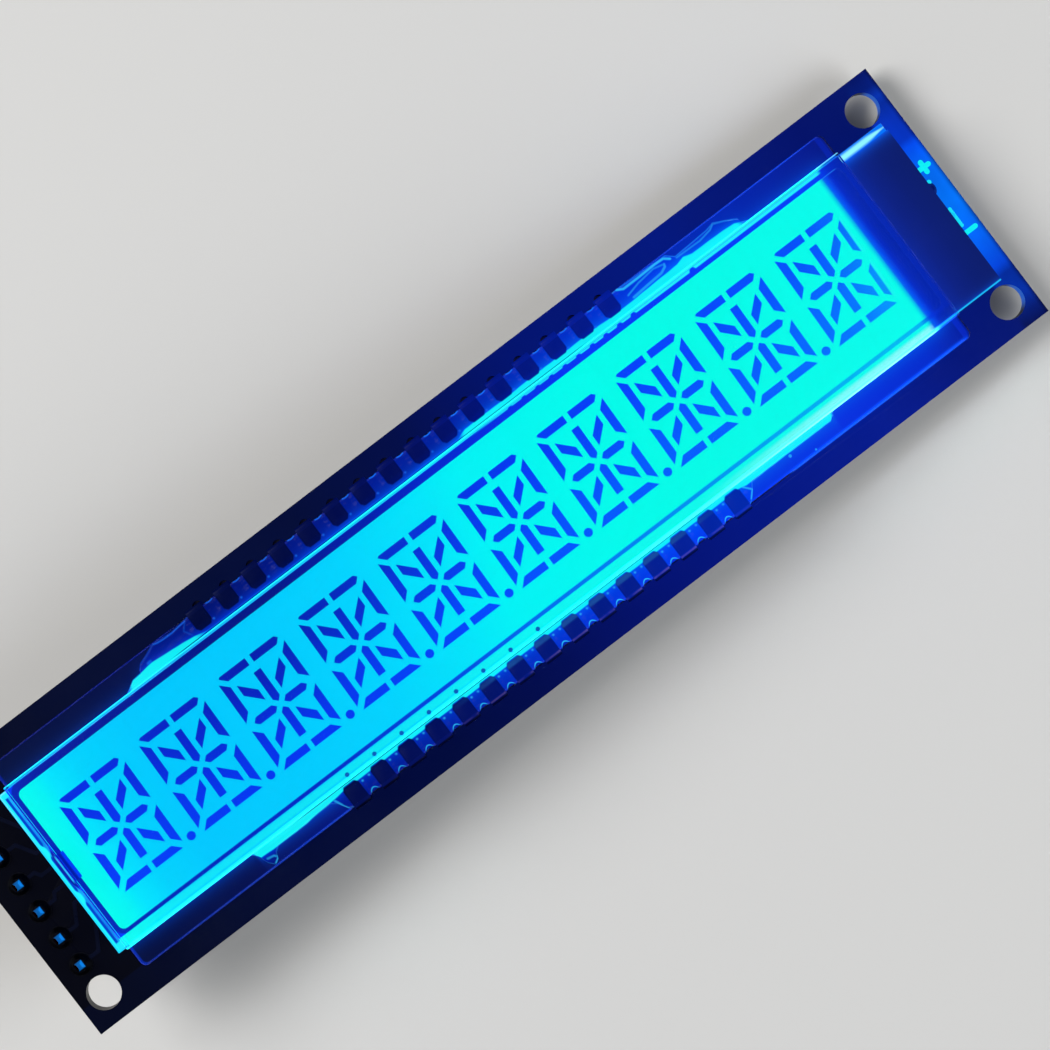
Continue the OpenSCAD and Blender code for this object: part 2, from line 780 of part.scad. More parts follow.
module pin_side(low, high) {
    half = pin_w / 2;
    point = pin_w / 4;
    taper = 0.35;
    polygon([
        [-point, low], [point, low], [half, low + taper], [half, high - taper],
        [point, high], [-point, high], [-half, high - taper], [-half, low + taper]
    ]);
}

module header_solder() {
    cone_h = 0.6;
    foot_r = 0.85;
    tip_r = pin_w * sqrt(2) / 2 + 0.05;
    color("gainsboro")
    at_header_pins() translate([0, 0, board_t]) difference() {
        solder_cone(foot_r, tip_r, cone_h, 1);
        translate([-pin_w / 2, -pin_w / 2, -past]) cube([pin_w, pin_w, cone_h + 2 * past]);
    }
}

// ---------- driver chip ----------

chip_standoff = 0.1;
chip_draft = 0.15;
lead_t = 0.15;
chip_lead_w = 0.22;

// What is drawn here faces away from the back of the board
module on_back(x, y, angle = 0) {
    translate([x, y, 0]) mirror([0, 0, 1]) rotate(angle) children();
}

module chip_body() {
    mark_r = 0.45;
    mark_inset = 1.2;
    mark_depth = 0.1;
    color([0.10, 0.10, 0.11])
    on_back(chip_x, 0) translate([0, 0, chip_standoff]) difference() {
        drafted_block(chip_w, chip_w, chip_t, chip_draft);
        translate([mark_inset - chip_w / 2, mark_inset - chip_w / 2, chip_t - mark_depth])
            cylinder(r = mark_r, h = mark_depth + past);
    }
}

// Sixteen gull-wing leads on each of the four sides
module chip_leads() {
    color("silver")
    on_back(chip_x, 0) for (quarter = [0 : 3])
        rotate(90 * quarter) row(leads_per_side, chip_lead_pitch)
            translate([0, chip_w / 2, 0])
                gull_wing(chip_lead_reach, chip_standoff + chip_t / 2, chip_lead_w);
}

// A lead that leaves a body level at the given height and steps down to a foot
module gull_wing(reach, height, w) {
    knee = reach * 0.3;
    heel = reach * 0.5;
    translate([-w / 2, 0, 0]) rotate([90, 0, 90]) linear_extrude(w) polygon([
        [0, height], [knee, height], [heel - lead_t, 0], [reach, 0],
        [reach, lead_t], [heel, lead_t], [knee + lead_t, height + lead_t], [0, height + lead_t]
    ]);
}

// ---------- small parts on the back ----------

small_l = 1.6;
small_w = 0.8;
cap_l = 0.3;
resistor_h = 0.45;
capacitor_h = 0.8;
resistor_places = [[-12, 3.2], [-12, 1.2], [-12, -0.8], [22, 2.4]];
capacitor_places = [[-3.6, 5.2], [-12, -3.4]];
transistor_place = [24.5, -2.2];

module small_bodies(places, h) {
    for (p = places) on_back(p.x, p.y)
        translate([cap_l - small_l / 2, -small_w / 2, 0]) cube([small_l - 2 * cap_l, small_w, h]);
}

module small_ends(places, h) {
    for (p = places, side = [0, 180]) on_back(p.x, p.y, side)
        translate([small_l / 2 - cap_l, -small_w / 2, 0]) cube([cap_l, small_w, h]);
}

module resistors() {
    color([0.12, 0.12, 0.13]) small_bodies(resistor_places, resistor_h);
}

module capacitors() {
    color([0.72, 0.62, 0.48]) small_bodies(capacitor_places, capacitor_h);
}

module component_ends() {
    color("silver") {
        small_ends(resistor_places, resistor_h);
        small_ends(capacitor_places, capacitor_h);
    }
}

transistor_w = 1.3;
transistor_l = 2.9;
transistor_h = 1.0;
transistor_draft = 0.12;

module transistor_body() {
    color([0.10, 0.10, 0.11])
    on_back(transistor_place.x, transistor_place.y)
        translate([0, 0, chip_standoff])
            drafted_block(transistor_l, transistor_w, transistor_h, transistor_draft);
}

// Two leads on one side and one on the other
module transistor_leads() {
    spread = 0.95;
    reach = 0.55;
    w = 0.4;
    color("silver")
    on_back(transistor_place.x, transistor_place.y) for (lead = [[-spread, 0], [spread, 0], [0, 180]])
        rotate(lead[1]) translate([lead[0], transistor_w / 2, 0])
            gull_wing(reach, chip_standoff + transistor_h / 2, w);
}

// ---------- assembly ----------

circuit_board();
rear_reflector();
light_guide();
diffuser_film();
lamp_strip();
lamps();
lamp_leads();
lamp_lead_solder();
lamp_bay_tape();
rear_polarizer();
rear_glass();
cell_seal();
crossover_dots();
character_segments();
decimal_points();
front_glass();
front_polarizer();
fill_port_plug();
upper_contacts();
lower_contacts();
upper_resin();
lower_resin();
upper_contact_solder();
lower_contact_solder();
header_body();
header_pins_metal();
header_solder();
chip_body();
chip_leads();
resistors();
capacitors();
component_ends();
transistor_body();
transistor_leads();
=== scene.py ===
"""Looks of a backlit sixteen segment display module.

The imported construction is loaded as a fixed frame. This script dresses every piece of it, adds what
is too fine for the construction (printed tracks, pads and signs, the flow of the clear resin), and
sets up a plain studio. Shader formulas and the sizes of small features are in millimetres; Blender's
own coordinates are in metres.
"""
import logging
import math
from collections.abc import Callable, Sequence
from dataclasses import dataclass
from enum import Enum
from functools import cached_property

import bmesh
import bpy
from mathutils import Matrix, Vector, noise


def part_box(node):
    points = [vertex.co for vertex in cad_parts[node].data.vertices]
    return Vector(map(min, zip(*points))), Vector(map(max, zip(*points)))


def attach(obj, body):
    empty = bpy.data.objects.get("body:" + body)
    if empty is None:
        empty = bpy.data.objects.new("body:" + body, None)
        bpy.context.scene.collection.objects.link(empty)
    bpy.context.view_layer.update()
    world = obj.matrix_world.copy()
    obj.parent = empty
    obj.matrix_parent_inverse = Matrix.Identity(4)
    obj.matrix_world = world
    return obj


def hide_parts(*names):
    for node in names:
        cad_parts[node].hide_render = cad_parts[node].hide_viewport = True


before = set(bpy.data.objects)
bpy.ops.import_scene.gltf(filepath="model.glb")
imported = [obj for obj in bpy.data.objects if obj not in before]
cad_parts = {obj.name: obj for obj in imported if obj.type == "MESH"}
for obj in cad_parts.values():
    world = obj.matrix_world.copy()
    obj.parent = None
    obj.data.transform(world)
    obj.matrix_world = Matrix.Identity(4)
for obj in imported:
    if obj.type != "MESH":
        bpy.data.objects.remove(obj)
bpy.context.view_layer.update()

LOG = logging.getLogger("display_module")
MM = 0.001
WELD = MM * 1e-4

Colour = tuple[float, float, float]
Point = tuple[float, float]
Stop = tuple[float, Colour]
Tones = tuple[Stop, ...]
Track = tuple[float, list[Point]]
Material = bpy.types.Material
Socket = bpy.types.NodeSocket
Vertex = bmesh.types.BMVert


def shown(*parts: int) -> Colour:
    """Turn red, green and blue as a screen shows them, from 0 to 255, into linear light.

    Args:
        parts: the red, the green and the blue part.

    Returns:
        The three linear parts.
    """
    shares = (part / 255 for part in parts)
    return tuple(
        share / 12.92 if share <= 0.04045 else ((share + 0.055) / 1.055) ** 2.4 for share in shares
    )


def ramp(*rows: tuple[float, int, int, int]) -> Tones:
    """Tones along an axis, from rows of a place in millimetres and the colour that shows there."""
    return tuple((place, shown(*colour)) for place, *colour in rows)


def scaled(colour: Colour, share: float) -> Colour:
    """A colour that is that much brighter or darker."""
    return tuple(part * share for part in colour)


# ---------- places that many pieces share ----------


@dataclass(frozen=True)
class Extent:
    """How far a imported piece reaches, in millimetres."""

    left: float
    lower: float
    bottom: float
    right: float
    upper: float
    top: float

    @classmethod
    def of(cls, node: str) -> "Extent":
        """Read it off the frame."""
        return cls(*(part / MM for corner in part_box(node) for part in corner))

    @property
    def line(self) -> float:
        """Where its lengthwise middle line lies."""
        return (self.lower + self.upper) / 2

    @property
    def half(self) -> float:
        """Half its width."""
        return (self.upper - self.lower) / 2


GLASS, REAR_GLASS, GUIDE, TAPE, BOARD = (
    Extent.of(node) for node in ("front_glass", "rear_glass", "light_guide", "lamp_bay_tape", "circuit_board")
)


# ---------- shader formulas ----------


def arithmetic(operation: str, turned: bool = False) -> Callable[..., "Term"]:
    """Make a method that works out one step of arithmetic.

    Args:
        operation: the step, as the shader calls it.
        turned: whether the term itself comes last in it.

    Returns:
        The method.
    """
    def method(self: "Term", *others: "Term | float") -> "Term":
        """Work out the step."""
        return self.graph.math(operation, *((*others, self) if turned else (self, *others)))
    return method


class Term:
    """A number that a shader works out at each point, so that its formulas read as formulas."""

    __add__ = __radd__ = arithmetic("ADD")
    __mul__ = __rmul__ = arithmetic("MULTIPLY")
    __sub__ = arithmetic("SUBTRACT")
    __rsub__ = arithmetic("SUBTRACT", turned=True)
    __truediv__ = arithmetic("DIVIDE")
    __abs__ = arithmetic("ABSOLUTE")
    at_least = arithmetic("MAXIMUM")
    at_most = arithmetic("MINIMUM")

    def __init__(self, graph: "Graph", socket: Socket) -> None:
        """Keep the socket that carries the number."""
        self.graph = graph
        self.socket = socket

    def rise(self, low: float, high: float) -> "Term":
        """Go smoothly from 0 at low to 1 at high; low may be the larger of the two.

        Args:
            low: the value at which the rise starts.
            high: the value at which it ends.

        Returns:
            The share at each point.
        """
        node = self.graph.node(
            "MapRange",
            {"Value": self, "From Min": low, "From Max": high},
            interpolation_type="SMOOTHSTEP",
        )
        return Term(self.graph, node.outputs["Result"])

    def fade(self, reach: float) -> "Term":
        """Fall off from 1 at zero as light does, to about a third at the given reach."""
        return self.graph.math("EXPONENT", self.at_least(0.0) * (-1.0 / reach))

    def near(self, middle: float, half_width: float, soft: float) -> "Term":
        """Be 1 within half_width of the middle and fall smoothly to 0 over the soft edge."""
        return abs(self - middle).rise(half_width + soft, half_width)


class Graph:
    """The node tree of one material, built with short calls."""

    INPUTS = {
        "colour": "Base Color", "rough": "Roughness", "shine": "Specular IOR Level", "glow": "Emission Color",
        "strength": "Emission Strength", "normal": "Normal", "metallic": "Metallic", "edge": "Specular Tint",
        "alpha": "Alpha", "bending": "IOR", "through": "Transmission Weight",
    }

    def __init__(self, name: str) -> None:
        """Start an empty material of that name, with one main shader.

        Args:
            name: the material's name.
        """
        self.material = bpy.data.materials.new(name)
        self.material.use_nodes = True
        self.tree = self.material.node_tree
        self.tree.nodes.clear()
        self.main = self.node("BsdfPrincipled")
        self.coordinates = self.node("TexCoord")

    def feed(self, socket: Socket, value: object) -> None:
        """Link a term or a socket, or set a plain value.

        Args:
            socket: the input that takes it.
            value: a term, another node's output, a colour or a number.
        """
        if isinstance(value, Term):
            value = value.socket
        if isinstance(value, Socket):
            self.tree.links.new(value, socket)
        elif socket.type == "RGBA":
            socket.default_value = (*value, 1.0)
        else:
            socket.default_value = value

    def node(self, kind: str, inputs: dict | None = None, **settings: object) -> bpy.types.Node:
        """Add a node.

        Args:
            kind: the node's type, without its ShaderNode prefix.
            inputs: what goes into its sockets, by name or index.
            settings: the node's own properties.

        Returns:
            The new node.
        """
        made = self.tree.nodes.new("ShaderNode" + kind)
        for key, value in settings.items():
            setattr(made, key, value)
        for key, value in (inputs or {}).items():
            self.feed(made.inputs[key], value)
        return made

    def math(self, operation: str, *values: "Term | float") -> Term:
        """Work out one step of arithmetic."""
        node = self.node("Math", dict(enumerate(values)), operation=operation)
        return Term(self, node.outputs[0])

    def length(self, first: Term, second: Term) -> Term:
        """How far apart two points are that lie so far apart along two axes."""
        return self.math("SQRT", first * first + second * second)

    def split(self, output: str) -> list[Term]:
        """The three parts of a coordinate."""
        node = self.node("SeparateXYZ", {0: self.coordinates.outputs[output]})
        return [Term(self, part) for part in node.outputs]

    @cached_property
    def place(self) -> list[Term]:
        """The point's place in the frame, in millimetres."""
        return [part * 1000.0 for part in self.split("Object")]

    @cached_property
    def facing(self) -> list[Term]:
        """The way that the surface faces, along each axis of the frame."""
        return self.split("Normal")

    @cached_property
    def across(self) -> Term:
        """How far the point lies above the middle line of the glass, as the picture shows it."""
        return self.place[1] - GLASS.line

    @cached_property
    def out(self) -> Term:
        """How far the point lies outside the long edges of the front plate."""
        return abs(self.across) - GLASS.half

    def noise(self, size: float, detail: float = 3.0, stretch: Sequence[float] = (1, 1, 1)) -> Term:
        """Smooth noise from 0 to 1.

        Args:
            size: how wide its features are, in millimetres.
            detail: how many finer layers it has.
            stretch: how much longer they are along each axis.

        Returns:
            The noise as a term.
        """
        scale = tuple(1000.0 / size / along for along in stretch)
        spread = self.node(
            "VectorMath", {0: self.coordinates.outputs["Object"], 1: scale}, operation="MULTIPLY"
        )
        node = self.node("TexNoise", {"Vector": spread.outputs[0], "Scale": 1.0, "Detail": detail})
        return Term(self, node.outputs["Fac"])

    def stored(self, name: str) -> Term:
        """A number that the mesh holds at each of its vertices."""
        return Term(self, self.node("Attribute", attribute_name=name).outputs["Fac"])

    def blend(self, share: Term | float, first: object, second: object) -> Socket:
        """A colour between two others."""
        node = self.node("Mix", {0: share, 6: first, 7: second}, data_type="RGBA")
        return node.outputs[2]

    def tones(self, place: Term, stops: Sequence[Stop]) -> Socket:
        """A colour that changes along one axis of the frame.

        Args:
            place: how far along the axis the point is, in millimetres.
            stops: places along it, in rising order, each with its colour.

        Returns:
            The colour at the point.
        """
        first, last = stops[0][0], stops[-1][0]
        node = self.node("ValToRGB", {0: (place - first) / (last - first)})
        elements = node.color_ramp.elements
        for index, (at, colour) in enumerate(stops):
            position = (at - first) / (last - first)
            element = elements[index] if index < 2 else elements.new(position)
            element.position = position
            element.color = (*colour, 1.0)
        return node.outputs[0]

    def sided(self, lower: Sequence[Stop], upper: Sequence[Stop]) -> Socket:
        """A colour along the module that differs between its lower and its upper half."""
        x = self.place[0]
        return self.blend(self.across.rise(-3.0, 3.0), self.tones(x, lower), self.tones(x, upper))

    def bump(self, height: Term, depth: float) -> Socket:
        """A surface that stands up by depth millimetres where height is 1."""
        node = self.node("Bump", {"Height": height, "Distance": depth * MM, "Strength": 1.0})
        return node.outputs["Normal"]

    def inputs(self, **values: object) -> None:
        """Set the main shader's inputs, by the names in INPUTS."""
        for name, value in values.items():
            self.feed(self.main.inputs[self.INPUTS[name]], value)

    def surface(self, **values: object) -> Material:
        """Set the main shader's inputs and end the material with it."""
        self.inputs(**values)
        return self.end(self.main)

    def end(self, shader: bpy.types.Node) -> Material:
        """End the material with that shader.

        Args:
            shader: the node that gives the surface.

        Returns:
            The finished material.
        """
        output = self.node("OutputMaterial")
        self.tree.links.new(shader.outputs[0], output.inputs["Surface"])
        return self.material


def over_cell(x: Term) -> Term:
    """Be 1 over the lit part of the cell and 0 over the lamp bay."""
    return x.rise(TAPE.left + 0.1, TAPE.left - 0.3)


# ---------- finishes ----------


@dataclass(frozen=True)
class SolderMask:
    """Glossy dark blue mask over the board, with the weave and the light that reaches it."""

    body: Colour = shown(2, 3, 12)
    edge: Colour = shown(20, 22, 18)
    lamp_light: Colour = shown(2, 114, 252)
    thread: float = 0.55
    upper_glow: Tones = ramp(
        (-41, 0, 3, 26), (-30, 0, 7, 42), (-10, 0, 8, 52), (0, 0, 10, 70), (10, 0, 17, 108),
        (25, 1, 22, 124), (38, 0, 15, 104), (45, 2, 20, 104),
    )
    lower_glow: Tones = ramp(
        (-41, 0, 3, 22), (-10, 0, 8, 60), (0, 1, 11, 82), (10, 2, 17, 114), (30, 1, 25, 142),
        (38, 1, 19, 118), (45, 2, 20, 104),
    )
    lamp_end: Tones = ramp(
        (-11.5, 1, 14, 86), (-10.5, 2, 26, 112), (-9, 2, 46, 162), (-7.2, 2, 44, 160), (-6.4, 3, 70, 222),
        (-4, 2, 100, 250), (-0.5, 2, 118, 254), (2.5, 2, 110, 252), (4.8, 2, 80, 248), (5.4, 4, 54, 200),
        (7.4, 3, 50, 190), (8.6, 2, 42, 160), (9.3, 3, 52, 180), (10.2, 1, 28, 124), (11.5, 1, 18, 100),
    )

    def material(self) -> Material:
        """Build the material.

        Returns:
            The new material.
        """
        graph = Graph("solder_mask")
        x, y, _ = graph.place
        nx, _, nz = graph.facing
        weave = graph.noise(self.thread, 2.0, (3.0, 1.0, 1.0)) * 0.5
        weave = weave + graph.noise(self.thread, 2.0, (1.0, 3.0, 1.0)) * 0.5
        mottle = graph.noise(6.0, 4.0)
        face = graph.blend(mottle, self.body, scaled(self.body, 1.6))
        flat = abs(nz).rise(0.5, 0.8)
        glow = graph.sided(self.lower_glow, self.upper_glow)
        strip = x.rise(GUIDE.right - 0.3, GUIDE.right + 0.1)
        rim = x.rise(BOARD.right + 0.22, BOARD.right - 0.42) * 0.95 + 0.05
        # Patchy strength of the painted glow along the lamp end strip.
        patchy_glow = graph.noise(2.2, 2.0, (1.0, 1.6, 1.0)) * 0.7 + 0.62
        wall = nx.rise(-0.35, -0.95) * abs(nz).rise(0.4, 0.1) * x.rise(40.0, 42.0)
        glow = graph.blend(strip, glow, graph.tones(y, self.lamp_end))
        beside_glass = abs(graph.across).rise(REAR_GLASS.half - 0.05, REAR_GLASS.half + 0.05)
        clear_of_glass = beside_glass.at_least(x.rise(GLASS.right - 0.05, GLASS.right + 0.05))
        strength = nz.rise(0.2, 0.8) * clear_of_glass * ((1.0 - strip) + strip * rim * patchy_glow)
        return graph.surface(
            colour=graph.blend(flat, self.edge, face), rough=graph.noise(2.5, 3.0) * 0.12 + 0.26,
            shine=0.07, normal=graph.bump(weave, 0.006), glow=graph.blend(wall, glow, self.lamp_light),
            strength=strength.at_least(wall * 0.5) * (mottle * 0.2 + 0.9),
        )


@dataclass(frozen=True)
class LitField:
    """The diffuser under the cell, glowing with the backlight: sky blue light toward the header end,
    turquoise toward the lamps.
    """

    light: Tones = ramp(
        (-38.4, 5, 254, 236), (-37, 4, 247, 245), (-35.9, 2, 232, 254), (-33.7, 0, 214, 254),
        (-29.5, 0, 203, 255), (-18.9, 0, 207, 255), (-11.5, 0, 215, 255), (-4.1, 1, 233, 251),
        (-0.4, 1, 246, 246), (10.6, 3, 255, 235), (18, 6, 255, 231), (36, 10, 255, 236),
    )
    last_light: Colour = shown(1, 62, 240)
    shine: Colour = shown(150, 254, 250)
    band_light: Colour = shown(26, 252, 240)
    band_line: float = -6.95
    hot_line: float = -7.24
    end_line: Colour = shown(28, 236, 254)
    end_dark: Colour = shown(0, 44, 196)
    plate_line: Colour = shown(22, 176, 250)
    gain: float = 1.05

    def material(self) -> Material:
        """Build the material.

        Returns:
            The new material.
        """
        graph = Graph("lit_diffuser")
        x = graph.place[0]
        grain = graph.noise(0.35, 2.0)
        across = graph.across
        along = x + (across.rise(6.0, -6.0) * 3.2 - 2.5) * x.rise(-36.0, -20.0)
        end = x.rise(TAPE.left + 0.25, TAPE.left - 0.45)
        below = across.near(self.hot_line, 0.1, 0.34)
        hot = below * x.rise(14.0, 32.0) * (graph.noise(3.0, 2.0) * 0.4 + 0.75)
        band = across.near(self.band_line, 0.2, 0.12) * 0.5
        lit = graph.blend(band, graph.tones(along, self.light), self.band_light)
        lit = graph.blend(hot.at_most(1.0), lit, self.shine)
        past_end = x.rise(GUIDE.left + 0.92, GUIDE.left + 1.0)
        lit = graph.blend(past_end, self.left_lines(graph), lit)
        return graph.surface(
            colour=shown(0, 40, 60), rough=0.75 + grain * 0.1, shine=0.05,
            glow=graph.blend(end, self.last_light, lit), strength=self.gain - 0.02 + grain * 0.04,
            normal=graph.bump(grain, 0.004),
        )

    def left_lines(self, graph: Graph) -> Socket:
        """The bright line at the guide's left end, wider just past the plug, and the dark one beside it.

        Args:
            graph: the material that is being built.

        Returns:
            The diffuser's colour there.
        """
        x, y, _ = graph.place
        swell = (y - 2.0).near(0.0, 0.15, 0.6).at_least((y + 2.25).near(0.0, 0.15, 0.6)) * 0.2
        step = x - GUIDE.left - swell
        streak = graph.noise(0.9, 2.0, (1.0, 4.0, 1.0))
        corner = abs(graph.across).rise(6.7, 6.85)
        line = step.rise(0.36, 0.26).at_least(corner * 0.9)
        plate = (step + swell * 2.0).rise(0.48, 0.58) * (streak * 1.8 - 0.25).at_least(0.25).at_most(1.0)
        return graph.blend(line, graph.blend(plate, self.end_dark, self.plate_line), self.end_line)


@dataclass(frozen=True)
class DarkCrystal:
    """The switched areas of the liquid crystal, lit through from behind."""

    name: str
    upper: Tones
    lower: Tones
    gain: float = 1.0
    spill: Colour = shown(26, 250, 240)
    spill_width: float = 0.32
    lean: float = 0.031

    def material(self) -> Material:
        """Build the material.

        Returns:
            The new material.
        """
        graph = Graph(self.name)
        x = graph.place[0]
        cloud = graph.noise(1.6, 2.0)
        share = graph.across.rise(-4.6, 4.6)
        light = graph.blend(share, graph.tones(x, self.lower), graph.tones(x, self.upper))
        return graph.surface(
            colour=shown(2, 6, 40), rough=0.45 + cloud * 0.1, shine=0.05,
            glow=self.rim_light(graph, light), strength=cloud * 0.12 + (self.gain - 0.06),
        )

    def rim_light(self, graph: Graph, light: Socket) -> Socket:
        """Add the lamps' own light that creeps over the far edge of the last character.

        Args:
            graph: the material that is being built.
            light: the colour without it.

        Returns:
            The colour with it.
        """
        x, y, _ = graph.place
        far_edge = Extent.of("character_segments").right
        past = (x - y * self.lean - far_edge + self.spill_width).rise(-0.05, 0.06)
        return graph.blend(past, light, self.spill)


@dataclass(frozen=True)
class SealBand(DarkCrystal):
    """The dark seal round the cell, whose outer corners and upper edge let some light by."""

    corner: float = 0.9
    past_corner: Colour = shown(2, 62, 250)
    past_edge: Colour = shown(34, 238, 250)
    first_bump: float = 8.05
    bump_pitch: float = 1.27
    bumps: int = 10
    lone_bump: float = 24.97

    def rim_light(self, graph: Graph, light: Socket) -> Socket:
        """Add what passes the rounded corners and the scalloped upper edge.

        Args:
            graph: the material that is being built.
            light: the colour without it.

        Returns:
            The colour with it.
        """
        x, y, _ = graph.place
        seal = Extent.of("cell_seal")
        beyond_x = ((seal.left + self.corner) - x).at_least(0.0)
        beyond_y = (abs(y - seal.line) - (seal.half - self.corner)).at_least(0.0)
        away = graph.length(beyond_x, beyond_y)
        light = graph.blend(away.rise(self.corner, self.corner + 0.12), light, self.past_corner)
        widening = x.rise(6.0, 30.0) * 0.17 + 0.07
        edge = (y - seal.upper + widening).rise(-0.02, 0.04) * x.rise(4.0, 8.0) * over_cell(x)
        half_row = self.bump_pitch * (self.bumps - 1) / 2
        phase = graph.math("FRACT", (x - self.first_bump) / self.bump_pitch + 0.5) - 0.5
        row = x.near(self.first_bump + half_row, half_row + 0.4, 0.05)
        beside_row = abs(x - self.lone_bump) / self.bump_pitch
        along = (abs(phase).at_least(1.0 - row)).at_most(beside_row) * self.bump_pitch
        bump = graph.length(along, y - seal.upper + 0.24).rise(0.30, 0.24)
        return graph.blend(edge * (1.0 - bump), light, self.past_edge)


# Painted backlight seen through the switched bars and the seal, by place along the module.
BAR_TOPS: Tones = ramp(
    (-33.5, 2, 45, 227), (-26.1, 2, 32, 192), (-18.7, 2, 27, 170), (-11.3, 0, 38, 184), (-3.9, 3, 48, 209),
    (3.5, 1, 54, 236), (18.3, 3, 66, 252), (33.1, 2, 82, 250), (36, 3, 112, 250),
)
BAR_BOTTOMS: Tones = ramp(
    (-33.5, 1, 62, 248), (-26.1, 0, 55, 240), (-18.7, 1, 52, 240), (-11.3, 1, 62, 245), (-3.9, 0, 72, 252),
    (10.9, 1, 94, 253), (25.7, 4, 101, 254), (33.1, 3, 125, 254), (36, 4, 160, 250),
)
SEAL_TOP: Tones = ramp(
    (-38.7, 3, 38, 182), (-36, 6, 28, 158), (-25, 2, 23, 140), (-15, 3, 22, 128), (-5, 2, 31, 175),
    (5, 4, 44, 221), (15, 5, 55, 247), (36.2, 5, 64, 250), (36.9, 2, 58, 230), (37.6, 1, 42, 196),
    (38.7, 1, 36, 168),
)
SEAL_FOOT: Tones = ramp(
    (-38.7, 1, 40, 180), (-20, 1, 40, 198), (-8, 0, 72, 224), (0, 0, 108, 238), (10, 0, 134, 240),
    (33, 2, 188, 241), (36, 3, 184, 244), (36.9, 2, 58, 230), (37.6, 1, 42, 196), (38.7, 1, 36, 168),
)


@dataclass(frozen=True)
class ClearGlass:
    """Thin polished glass that lets light through and catches some of it at its edges."""

    name: str
    tint: Colour = shown(248, 253, 254)
    low_edge: Tones = ramp(
        (-38.7, 4, 30, 132), (0, 8, 66, 210), (36, 8, 85, 247), (38.7, 6, 60, 224),
    )
    high_edge: Tones = ramp(
        (-38.7, 4, 16, 105), (0, 6, 30, 150), (36, 10, 63, 222), (38.7, 4, 34, 164),
    )

    def material(self) -> Material:
        """Build the material.

        Returns:
            The new material.
        """
        graph = Graph(self.name)
        light, strength = self.light(graph)
        smear = graph.noise(7.0, 3.0)
        graph.inputs(
            colour=self.tint, rough=smear * 0.02, bending=1.18, through=1.0, glow=light, strength=strength,
        )
        open_to_lamps = graph.node("BsdfTransparent", {"Color": self.tint})
        ray = graph.node("LightPath")
        return graph.end(graph.node("MixShader", {
            0: ray.outputs["Is Shadow Ray"], 1: graph.main.outputs[0], 2: open_to_lamps.outputs[0],
        }))

    def light(self, graph: Graph) -> tuple[Socket, Term]:
        """The colour and the strength of the light that the plate gives off."""
        raise NotImplementedError


@dataclass(frozen=True)
class FrontPlate(ClearGlass):
    """The front plate: only its ground rim shows, glowing with painted light from the backlight."""

    rim: Colour = shown(3, 130, 225)
    lit_rim: Colour = shown(30, 226, 248)

    def light(self, graph: Graph) -> tuple[Socket, Term]:
        """Work out the light that the plate gives off.

        Args:
            graph: the material that is being built.

        Returns:
            Its colour and its strength.
        """
        x, nz = graph.place[0], graph.facing[2]
        side = abs(graph.across).rise(GLASS.half - 0.2, GLASS.half - 0.1)
        streak = graph.noise(1.2, 3.0, (8.0, 1.0, 1.0)) * 0.4 + 0.6
        dark_line = graph.across.rise(-1.0, 1.0).at_least(x.near(-3.0, 18.5, 2.0))
        rim = graph.blend(dark_line, self.lit_rim, self.rim)
        colour = graph.blend(side * over_cell(x), graph.sided(self.low_edge, self.high_edge), rim)
        off_lamp_end = x.rise(GLASS.right - 0.1, GLASS.right - 1.6)
        return colour, abs(nz).rise(0.98, 0.80) * streak * off_lamp_end


